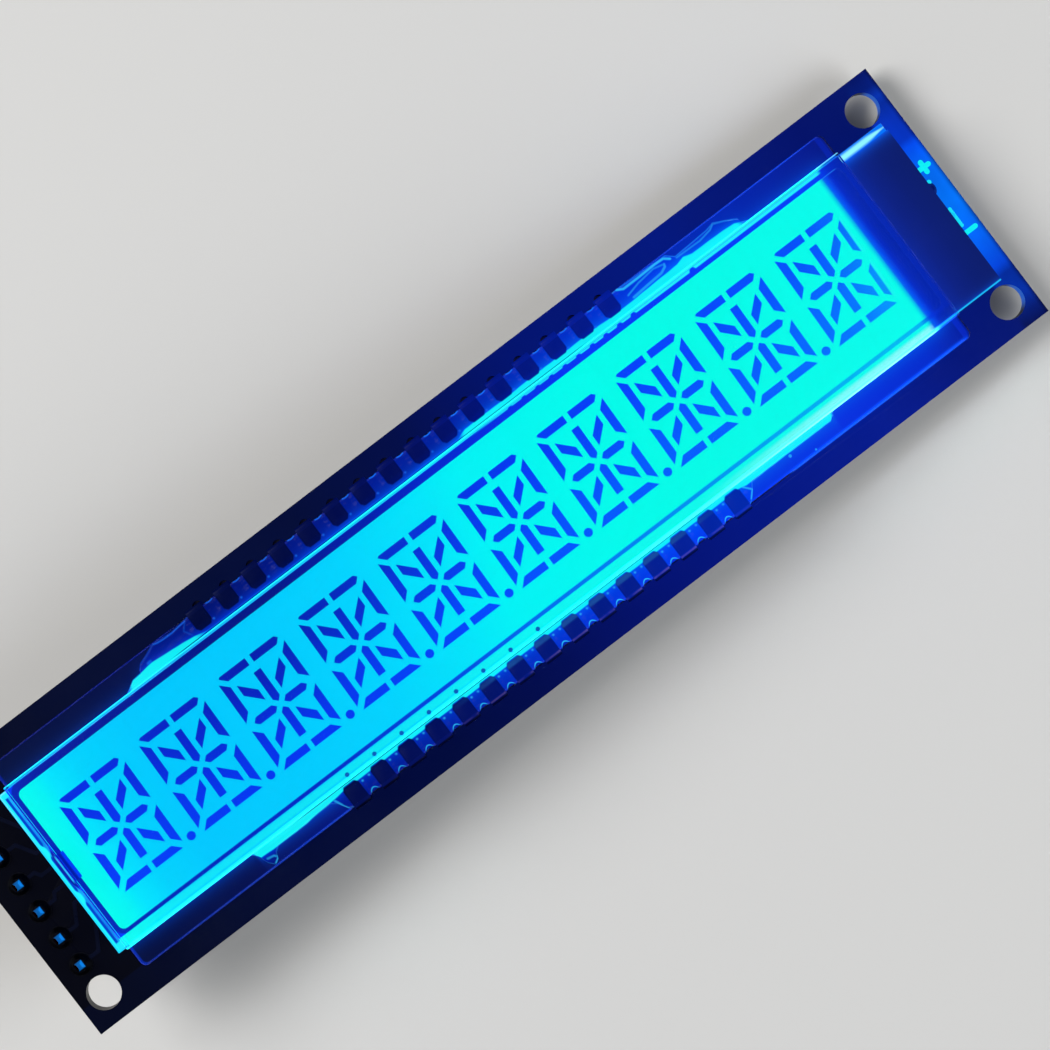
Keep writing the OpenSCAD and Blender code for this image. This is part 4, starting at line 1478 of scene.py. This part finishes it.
    def header_lines(self, chip: float) -> list[Track]:
        """Run the header's lines to the chip's edge, four of them through resistors.

        Args:
            chip: where they end at the chip, along the board.

        Returns:
            The tracks.
        """
        before, past = -12.7, -11.3
        rows = (
            (5.2, 0.5, -4.0), (3.2, 0.2, before), (1.2, 0.2, before), (-0.8, 0.2, before), (-2.1, 0.2, chip),
            (-3.4, 0.5, before),
        )
        lines = []
        for row, (pin, (y, width, stop)) in enumerate(zip(PIN_ROWS, rows)):
            knee = PIN_COLUMN + 2.2 + row * 0.5
            lines.append((width, [(PIN_COLUMN, pin), (knee, pin), (knee + abs(pin - y), y), (stop, y)]))
            if stop == before:
                lines.append((min(width, 0.4), [(past, y), (chip, y)]))
        return lines

    def lamp_lines(self, chip: float) -> list[Track]:
        """Run the lamps' lines from the chip by the transistor to the lamp leads.

        Args:
            chip: where they start at the chip, along the board.

        Returns:
            The tracks.
        """
        upper, lower = LEAD_ROWS
        return [
            (0.25, [(chip, 2.4), (21.4, 2.4)]),
            (0.6, [(22.6, 2.4), (34.0, 2.4), (34.93, upper), (LEAD_COLUMN, upper)]),
            (0.2, [(chip, -1.2), (23.4, -1.2)]),
            (0.6, [(24.6, -3.3), (30.0, -3.3), (32.2, lower), (LEAD_COLUMN, lower)]),
        ]


def solid_centres(node: str) -> list[Vector]:
    """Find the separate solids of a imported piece.

    Args:
        node: the piece's name.

    Returns:
        Their middles in millimetres, from left to right.
    """
    shape = bmesh.new()
    shape.from_mesh(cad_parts[node].data)
    bmesh.ops.remove_doubles(shape, verts=shape.verts, dist=WELD)
    left, centres = set(shape.verts), []
    while left:
        group, front = set(), [left.pop()]
        while front:
            vertex = front.pop()
            group.add(vertex)
            for edge in vertex.link_edges:
                other = edge.other_vert(vertex)
                if other in left:
                    left.discard(other)
                    front.append(other)
        low = [min(v.co[axis] for v in group) for axis in range(3)]
        high = [max(v.co[axis] for v in group) for axis in range(3)]
        centres.append((Vector(low) + Vector(high)) / 2 / MM)
    shape.free()
    return sorted(centres, key=lambda centre: (round(centre.x, 3), -centre.y))


def column_of(node: str) -> list[float]:
    """Where a column of solids stands along the board, and then where each is across it."""
    centres = solid_centres(node)
    return [centres[0].x] + [centre.y for centre in centres]


PIN_COLUMN, *PIN_ROWS = column_of("header_pins_metal")
LEAD_COLUMN, *LEAD_ROWS = column_of("lamp_leads")
# The header's solder is painted near black: painted shade, as no light falls on it. The front pads take it
# too.
SHADED_HEADER_SOLDER = Solder("header_solder", shown(14, 16, 24), shown(30, 32, 42))


def contact_places(side: Side) -> list[float]:
    """Where the contacts of one row stand along the glass, in millimetres."""
    return [centre.x for centre in solid_centres(f"{side.name.lower()}_contact_solder")]


def contact_line(side: Side) -> float:
    """How far across the board the legs of one row stand, in millimetres."""
    return solid_centres(f"{side.name.lower()}_contact_solder")[0].y


@dataclass
class Backlight:
    """The light guide with its films, its lamps and the tape over them."""

    def build(self) -> None:
        """Dress every piece of the backlight."""
        refine("light_guide", Acrylic(), "light_guide", 0.06)
        dress(LitField(), "diffuser_film")
        dress(Moulded("white_reflector", shown(225, 232, 236), 0.6, 0.3, 0.004), "rear_reflector")
        dress(Moulded("lamp_strip_mask", shown(14, 70, 40), 0.35), "lamp_strip")
        dress(Moulded("lamp_cup", shown(236, 236, 224), 0.45), "lamps")
        dress(DarkTape(), "lamp_bay_tape")
        dress(LampWire("lamp_wire", shown(24, 28, 52), 0.3), "lamp_leads")
        dress(LampSolder(), "lamp_lead_solder")


@dataclass
class GlassCell:
    """The two glass plates with what lies between and on them."""

    def build(self) -> None:
        """Dress every piece of the cell."""
        refine("rear_glass", RearPlate("rear_plate_glass"), "cell_glass", 0.09, 1)
        refine("front_glass", FrontPlate("front_plate_glass"), "cell_glass", 0.06, 1)
        dress(PolarizerFilm(), "front_polarizer", "rear_polarizer")
        dress(DarkCrystal("switched_crystal", BAR_TOPS, BAR_BOTTOMS), "character_segments", "decimal_points")
        dress(SealBand("cell_seal", SEAL_TOP, SEAL_FOOT), "cell_seal")
        # The crossover dots glow with painted light from the backlight.
        dress(GlowingPaste("conductive_paste", shown(2, 84, 186)), "crossover_dots")
        refine("fill_port_plug", PlugResin(), "plug_resin", 0.1)


@dataclass
class Contacts:
    """The two rows of bent contacts and their solder."""

    def build(self) -> None:
        """Dress the contacts and their solder."""
        # The tin is painted near black: painted shade, as the contacts' tops get no light but the cell's.
        metal = ContactMetal("tinned_contact", shown(14, 16, 24), 0.42)
        for side in Side:
            row = side.name.lower()
            refine(f"{row}_contacts", metal, "contact_metal", 0.04)
            dress(Solder(), f"{row}_contact_solder")


def smooth_step(start: float, end: float, value: float) -> float:
    """Go smoothly from 0 at start to 1 at end; start may be the larger of the two."""
    share = min(1.0, max(0.0, (value - start) / (end - start)))
    return share * share * (3 - 2 * share)


def between_knots(knots: Sequence[Point], x: float) -> float:
    """Read a height off a line that runs straight from knot to knot.

    Args:
        knots: the line's knots, from left to right.
        x: where to read it.

    Returns:
        The height, or 0 past the line's ends.
    """
    for (x0, y0), (x1, y1) in zip(knots, knots[1:]):
        if x0 <= x <= x1:
            return y0 + (y1 - y0) * (x - x0) / (x1 - x0)
    return 0.0


@dataclass(frozen=True)
class Stroke:
    """A ridge in the resin that catches the light: points along the glass and out from it."""

    points: tuple[Point, ...]
    light: float = 1.0
    half_width: float = 0.06

    def at(self, x: float, out: float) -> float:
        """How bright the ridge is at a point of the resin.

        Args:
            x: the point's place along the glass.
            out: its distance from the front plate.

        Returns:
            The brightness, from 0 to 1.
        """
        if not self.points[0][0] - 1.0 < x < self.points[-1][0] + 1.0:
            return 0.0
        place, knots = Vector((x, out)), [Vector(point) for point in self.points]
        nearest = min(self.away(place, start, end) for start, end in zip(knots, knots[1:]))
        return self.light * smooth_step(self.half_width * 1.9, self.half_width * 0.6, nearest)

    @staticmethod
    def away(place: Vector, start: Vector, end: Vector) -> float:
        """How far a place is from a straight piece of the ridge.

        Args:
            place: the place.
            start, end: the ends of that piece.

        Returns:
            The distance, in millimetres.
        """
        along = end - start
        share = min(1.0, max(0.0, (place - start).dot(along) / along.dot(along)))
        return (place - (start + along * share)).length


@dataclass
class ResinBead:
    """The clear resin along one side: a fillet at the glass, a layer over the contacts, loose ends.

    Distances along the glass are the frame's; out is how far a point lies from the front plate. The
    fillet and the loose ends are given as knots, and the layer between the contacts by its hollow.
    """

    side: Side
    fillet: tuple[Point, ...]
    left_end: tuple[Point, ...]
    right_end: tuple[Point, ...]
    hollow: float
    hollow_curve: float
    cover_from: float
    spots: Sequence[Point]
    strokes: tuple[Stroke, ...]
    seed: float
    drops: tuple[tuple[float, float, float], ...] = ()
    step_along: float = 0.06
    steps_across: int = 36
    contact_half: float = 0.72
    full: float = 1.88
    layer: float = 0.36
    ripple: float = 0.03
    sink: float = 0.12
    ridge: float = 0.08
    round_edge: float = 0.22

    def build(self) -> None:
        """Lay the resin over the ledge as one closed sheet."""
        node = f"{self.side.name.lower()}_resin"
        extent = Extent.of(node)
        self.ledge, self.crest = extent.bottom, extent.top - extent.bottom
        self.contacts = contact_places(self.side)
        self.shape = Shape()
        self.stores = [self.shape.mesh.verts.layers.float.new(name) for name in RESIN_STORES]
        start, end = self.fillet[0][0], self.fillet[-1][0]
        count = int((end - start) / self.step_along)
        rows = [self.row(start + (end - start) * index / count) for index in range(count + 1)]
        self.close(rows)
        made = self.shape.piece(f"{node}_flow", ClearResin(), "clear_resin", 60.0)
        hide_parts(node)
        if self.drops:
            self.spatter(node)

    def spatter(self, node: str) -> None:
        """Set small loose drops of resin on the ledge.

        Args:
            node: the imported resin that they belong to.
        """
        shape = Shape()
        for x, out, radius in self.drops:
            shape.dome(x, self.across(out), radius, radius * 0.8, self.ledge)
        shape.piece(f"{node}_drops", GlowingPaste("lit_resin_drop", shown(24, 150, 252)), "clear_resin", 60.0)

    def row(self, x: float) -> list[Vertex]:
        """Set the vertices of one cut across the resin, from the front plate outward.

        Args:
            x: where the cut is along the glass.

        Returns:
            The vertices, once round the cut.
        """
        fillet = max(0.03, between_knots(self.fillet, x) * (1.0 + 0.05 * self.wander(x, 0.8, 1)))
        gap = min(abs(x - contact) for contact in self.contacts)
        reach = max(fillet + 0.04, self.reach(x, gap))
        vertices = []
        for step in range(self.steps_across + 1):
            out = reach * step / self.steps_across
            lift = max(0.004, self.height(x, out, fillet, reach, gap))
            vertices.append(self.vertex(x, out, lift))
            held = (fillet, reach, self.mark(x, out), self.lip(x, gap), self.cover(gap, out))
            for store, value in zip(self.stores, held):
                vertices[-1][store] = value
        vertices += [self.vertex(x, reach, 0.0), self.vertex(x, 0.0, 0.0)]
        return vertices

    def vertex(self, x: float, out: float, lift: float) -> Vertex:
        """Set one vertex over the ledge."""
        return self.shape.loop([(x, self.across(out))], self.ledge + lift)[0]

    def across(self, out: float) -> float:
        """How far across the module a point lies that is so far from the front plate."""
        return GLASS.line + self.side.value * (GLASS.half + out)

    def wander(self, x: float, size: float, row: float) -> float:
        """A slow change along the bead, from -1 to 1."""
        return noise.noise(Vector((x / size, row * 7.3 + self.seed, 0.5)))

    def reach(self, x: float, gap: float) -> float:
        """Work out how far the resin reaches over the ledge.

        Args:
            x: the place along the glass.
            gap: how far the nearest contact's middle is from x.

        Returns:
            The distance from the front plate, in millimetres.
        """
        first, last = self.contacts[0] - self.contact_half, self.contacts[-1] + self.contact_half
        if x < first:
            return between_knots(self.left_end + ((first, self.full),), x)
        if x > last:
            return between_knots(((last, self.full),) + self.right_end, x)
        middle = max(0.0, (self.contacts[1] - self.contacts[0]) / 2 - gap)
        return min(self.full, self.hollow + self.hollow_curve * middle * middle)

    def height(self, x: float, out: float, fillet: float, reach: float, gap: float) -> float:
        """Work out how thick the resin is.

        Args:
            x: the place along the glass.
            out: the distance from the front plate.
            fillet: how wide the fillet is at x.
            reach: how far the resin reaches at x.
            gap: how far the nearest contact's middle is from x.

        Returns:
            The thickness, in millimetres.
        """
        crest = self.crest * max(0.0, 1.0 - out / (fillet + 0.12)) ** 1.4
        ripple = self.ripple * self.wander(x, 0.7, 3 + out)
        sunk = self.sink * smooth_step(0.75, 1.15, gap) * smooth_step(0.5, 1.2, out)
        lip = smooth_step(0.0, self.round_edge, reach - out)
        layer = (self.layer + ripple - sunk) * lip + self.ridge * self.mark(x, out)
        return min(self.crest, max(crest, layer))

    def lip(self, x: float, gap: float) -> float:
        """Work out how much the outer edge of the resin catches the light.

        Args:
            x: the place along the glass.
            gap: how far the nearest contact's middle is from x.

        Returns:
            The share of the light.
        """
        if self.contacts[0] < x < self.contacts[-1]:
            return smooth_step(0.90, 1.02, gap)
        return 0.22

    def cover(self, gap: float, out: float) -> float:
        """Find where a contact lies under the resin and hides the light.

        Args:
            gap: how far the nearest contact's middle is.
            out: the distance from the front plate.

        Returns:
            The share that is hidden.
        """
        chamfer = max(0.0, self.cover_from + 0.3 - out) * 0.8
        beside = smooth_step(self.contact_half + 0.03, self.contact_half - 0.05, gap + chamfer)
        return beside * smooth_step(self.cover_from - 0.05, self.cover_from + 0.05, out)

    def mark(self, x: float, out: float) -> float:
        """How bright a ridge or a glint is at a point of the resin.

        Args:
            x: the place along the glass.
            out: the distance from the front plate.

        Returns:
            The brightness, from 0 to 1.
        """
        bright = max((stroke.at(x, out) for stroke in self.strokes), default=0.0)
        pitch = self.contacts[1] - self.contacts[0]
        if self.contacts[0] < x < self.contacts[-1]:
            offset = (x - self.contacts[0]) % pitch - pitch / 2
            for place, distance in self.spots:
                away = math.hypot(offset - place, out - distance)
                bright = max(bright, 0.6 * smooth_step(0.13, 0.04, away))
        return bright

    def close(self, rows: list[list[Vertex]]) -> None:
        """Join the cuts into one closed skin.

        Args:
            rows: the vertices of each cut, from left to right.
        """
        faces = self.shape.mesh.faces
        for here, after in zip(rows, rows[1:]):
            for index in range(len(here)):
                ahead = (index + 1) % len(here)
                faces.new((here[index], after[index], after[ahead], here[ahead]))
        faces.new(rows[0])
        faces.new(list(reversed(rows[-1])))


def upper_resin() -> ResinBead:
    """Describe the resin along the upper ledge, wavy at its left end and looped at the right.

    Returns:
        The resin, ready to be built.
    """
    return ResinBead(
        side=Side.UPPER,
        fillet=(
            (-27.25, 0.03), (-26.4, 0.54), (-24.5, 0.76), (-22.7, 0.6), (-20.8, 0.38), (-20, 0.2),
            (-19.6, 0.13), (3.5, 0.13), (4.4, 0.43), (8.1, 0.43), (11, 0.5), (17, 0.5), (18.5, 0.42),
            (21.5, 0.5), (24.3, 0.6), (25, 0.78), (25.7, 0.58), (28.2, 0.54), (29.5, 0.46), (30.45, 0.03),
        ),
        left_end=((-25.6, 0.85), (-25.2, 1.25), (-24.6, 1.45), (-23.7, 1.84), (-22.0, 1.7), (-20.8, 1.82)),
        right_end=((19.6, 1.88), (24, 1.72), (24.6, 1.2), (27.6, 1.35), (28.3, 1.5), (29.6, 0.85), (30, 0.6)),
        hollow=1.84,
        hollow_curve=0.7,
        cover_from=0.42,
        spots=((-0.44, 0.56),),
        strokes=(
            Stroke(((-25.3, 1.15), (-24.6, 1.32), (-23.6, 1.77)), 0.14, 0.05),
            Stroke(((-24.7, 0.85), (-24.5, 0.86)), 0.6, 0.09),
            Stroke((
                (-23.6, 1.76), (-23.3, 1.66), (-22.8, 1.6), (-22, 1.58), (-21.3, 1.66), (-20.7, 1.7),
            ), 0.6, 0.045),
            Stroke(((-21.2, 1.15), (-20.7, 1.70)), 0.2, 0.05),
            Stroke(((-21.2, 1.15), (-20.85, 0.56)), 0.2, 0.05),
            Stroke((
                (19.6, 1.82), (20.05, 1.57), (21.5, 1.57), (23.0, 1.61), (23.75, 1.57), (24.15, 1.25),
            ), 1.0, 0.065),
            Stroke(((20.05, 0.97), (21.2, 1.25), (22.7, 1.42), (23.4, 1.25)), 0.45, 0.05),
            Stroke(((20.3, 0.60), (21.6, 0.70), (23.0, 0.79), (23.5, 1.02), (23.55, 1.2)), 0.6, 0.07),
            Stroke(((24.6, 1.02), (26.7, 0.97), (27.8, 1.15), (28.2, 1.38)), 0.4, 0.05),
            Stroke(((28.2, 1.38), (29.0, 1.08), (29.6, 0.75)), 0.3, 0.05),
        ),
        seed=3.1,
    )


def lower_resin() -> ResinBead:
    """Describe the resin along the lower ledge, cut short beside the last contacts.

    Returns:
        The resin, ready to be built.
    """
    return ResinBead(
        side=Side.LOWER,
        fillet=(
            (-27.28, 0.03), (-26.8, 0.66), (-25.8, 0.72), (-22.6, 0.7), (-21.5, 0.6), (-19.6, 0.5),
            (-19.1, 0.42), (17.9, 0.42), (18.5, 0.54), (22, 0.56), (26.4, 0.56), (26.98, 0.03),
        ),
        left_end=(
            (-26.9, 0.7), (-26.7, 1.3), (-26.3, 1.76), (-25.9, 1.5), (-25.7, 1.05), (-25.3, 0.76),
            (-20.4, 0.64), (-19.9, 1), (-19.5, 1.7),
        ),
        right_end=((18.2, 1.7), (18.7, 1.1), (19.0, 0.66), (26.8, 0.4)),
        hollow=1.60,
        hollow_curve=2.3,
        cover_from=0.22,
        spots=((-0.3, 0.66), (0.34, 0.6)),
        strokes=(
            Stroke(((-26.5, 1.0), (-26.0, 1.10)), 0.5),
            Stroke(((-26.0, 1.10), (-25.78, 1.36)), 0.6, 0.05),
            Stroke(((-26.2, 1.62), (-25.78, 1.36)), 0.6, 0.05),
            Stroke(((-19.95, 0.62), (-19.72, 1.2)), 0.6, 0.07),
            Stroke(((-19.72, 1.2), (-19.45, 1.68)), 0.5, 0.05),
            Stroke(((18.2, 0.5), (18.68, 1.05)), 0.8, 0.05),
            Stroke(((18.2, 1.55), (18.68, 1.05)), 0.8, 0.05),
        ),
        seed=8.4,
        drops=((22.42, 0.80, 0.13), (24.25, 1.58, 0.08)),
    )


@dataclass
class PinHeader:
    """The pin header at the left end."""

    def build(self) -> None:
        """Dress the header."""
        refine("header_body", Moulded("header_plastic", shown(24, 24, 26), 0.42), "header_plastic", 0.06)
        refine("header_pins_metal", PinPlating("pin_plating", (0.80, 0.62, 0.30), 0.24), "pin_metal", 0.03)
        dress(SHADED_HEADER_SOLDER, "header_solder")


@dataclass
class Electronics:
    """The driver chip and the small parts behind the board."""

    def build(self) -> None:
        """Dress the parts behind the board."""
        black = Moulded("moulding_compound", shown(30, 30, 32), 0.55, 0.08, 0.01)
        refine("chip_body", black, "chip_plastic", 0.08)
        refine("transistor_body", black, "chip_plastic", 0.05)
        dress(SheetMetal("tinned_lead", shown(196, 196, 198), 0.28), "chip_leads", "transistor_leads")
        refine("resistors", Moulded("resistor_glaze", shown(18, 18, 22), 0.25, 0.2), "resistor_body", 0.04)
        refine("capacitors", Moulded("capacitor_ceramic", shown(168, 142, 108), 0.4), "capacitor_body", 0.05)
        refine("component_ends", Solder(), "tinned_wire", 0.04)


# ---------- studio ----------


@dataclass
class Studio:
    """A plain pale floor, soft lamps and the camera."""

    floor_colour: Colour = (0.62, 0.62, 0.61)
    far_light: float = 0.7
    horizon: float = 0.52
    overhead: float = 0.05
    distance: float = 0.250
    lens: float = 112.69
    turn: float = 37.356
    lean: float = 0.569
    tilt: float = 1.354
    shift_right: float = -0.003170
    shift_up: float = -0.001957

    def build(self) -> None:
        """Set up the floor, the lamps, the world and the camera."""
        self.floor()
        self.lamp("key", (-0.30, 0.28, 0.42), 0.34, 3.2, (1.0, 0.98, 0.96))
        self.lamp("fill", (0.34, -0.30, 0.34), 0.40, 2.2, (0.95, 0.97, 1.0))
        self.world()
        self.camera()

    def floor(self) -> None:
        """Lay a wide pale floor that slopes under the module, so that its pins and lamp leads touch it."""
        pins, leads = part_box("header_pins_metal"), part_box("lamp_leads")
        low_x, high_x = (pins[0].x + pins[1].x) / 2, (leads[0].x + leads[1].x) / 2
        slope = (leads[0].z - pins[0].z) / (high_x - low_x)
        half, bend = 3.0, 0.02
        past = 0.004
        marks = [-half] + [low_x - past - bend * (1 - step / 8) for step in range(9)]
        marks += [high_x + past + bend * step / 8 for step in range(9)] + [half]
        data = bpy.data.meshes.new("floor")
        corners, faces = [], []
        for mark in marks:
            over = max(low_x - past - mark, mark - high_x - past, 0.0)
            turned = min(over, bend)
            held = min(max(mark, low_x - past), high_x + past)
            extra = (turned - turned * turned / (2 * bend)) * (1 if mark > 0 else -1)
            z = pins[0].z - 0.00002 + slope * (held - low_x + extra)
            corners += [(mark, -half, z), (mark, half, z)]
        for index in range(len(marks) - 1):
            faces.append((2 * index, 2 * index + 2, 2 * index + 3, 2 * index + 1))
        data.from_pydata(corners, [], faces)
        data.shade_smooth()
        floor = placed("floor", data)
        graph = Graph("pale_floor")
        x, y, _ = graph.place
        far = graph.length(x, y).rise(200.0, 900.0)
        data.materials.append(graph.surface(
            colour=self.floor_colour, rough=0.85, shine=0.1, glow=self.floor_colour,
            strength=far * self.far_light,
        ))

    def lamp(self, name: str, place: tuple, size: float, power: float, colour: Colour) -> None:
        """Hang a square soft lamp that faces the module.

        Args:
            name: the lamp's name.
            place: where it hangs, in metres.
            size: the length of its sides, in metres.
            power: its power, in watts.
            colour: the colour of its light.
        """
        data = bpy.data.lights.new(name, "AREA")
        data.shape = "SQUARE"
        data.size, data.energy, data.color = size, power, colour
        made = placed(name, data)
        made.location = place
        made.rotation_euler = (-Vector(place)).to_track_quat("-Z", "Y").to_euler()

    def world(self) -> None:
        """Light the scene from all round, pale at the height of the floor and dimmer overhead."""
        world = bpy.data.worlds.new("studio")
        world.use_nodes = True
        tree = world.node_tree
        background = tree.nodes["Background"]
        background.inputs["Color"].default_value = (0.95, 0.97, 1.0, 1.0)
        direction, split, height = (
            tree.nodes.new("ShaderNode" + kind) for kind in ("TexCoord", "SeparateXYZ", "MapRange")
        )
        height.interpolation_type = "SMOOTHSTEP"
        ends = {"From Min": 0.15, "From Max": 0.75, "To Min": self.horizon, "To Max": self.overhead}
        for socket, value in ends.items():
            height.inputs[socket].default_value = value
        tree.links.new(direction.outputs["Generated"], split.inputs[0])
        tree.links.new(split.outputs["Z"], height.inputs["Value"])
        tree.links.new(height.outputs["Result"], background.inputs["Strength"])
        bpy.context.scene.world = world

    def camera(self) -> None:
        """Hold the camera over the module, turned so that it lies across the frame."""
        data = bpy.data.cameras.new("camera")
        data.lens = self.lens
        data.sensor_width = 36.0
        data.clip_start = 0.005
        made = placed("camera", data)
        to_camera = (
            Matrix.Rotation(math.radians(self.turn), 3, "Z")
            @ Matrix.Rotation(math.radians(self.lean), 3, "Y")
            @ Matrix.Rotation(math.radians(self.tilt), 3, "X")
        )
        to_frame = to_camera.transposed()
        place = to_frame @ -Vector((self.shift_right, self.shift_up, -self.distance))
        made.matrix_world = Matrix.Translation(place) @ to_frame.to_4x4()
        bpy.context.scene.camera = made


def main() -> None:
    """Build the module's looks and the studio."""
    logging.basicConfig(level=logging.INFO, format="%(message)s")
    bpy.context.scene.view_settings.view_transform = "Standard"
    Studio().build()
    Board().build()
    Backlight().build()
    GlassCell().build()
    Contacts().build()
    upper_resin().build()
    lower_resin().build()
    PinHeader().build()
    Electronics().build()
    bpy.context.view_layer.update()


if __name__ == "__main__":
    main()
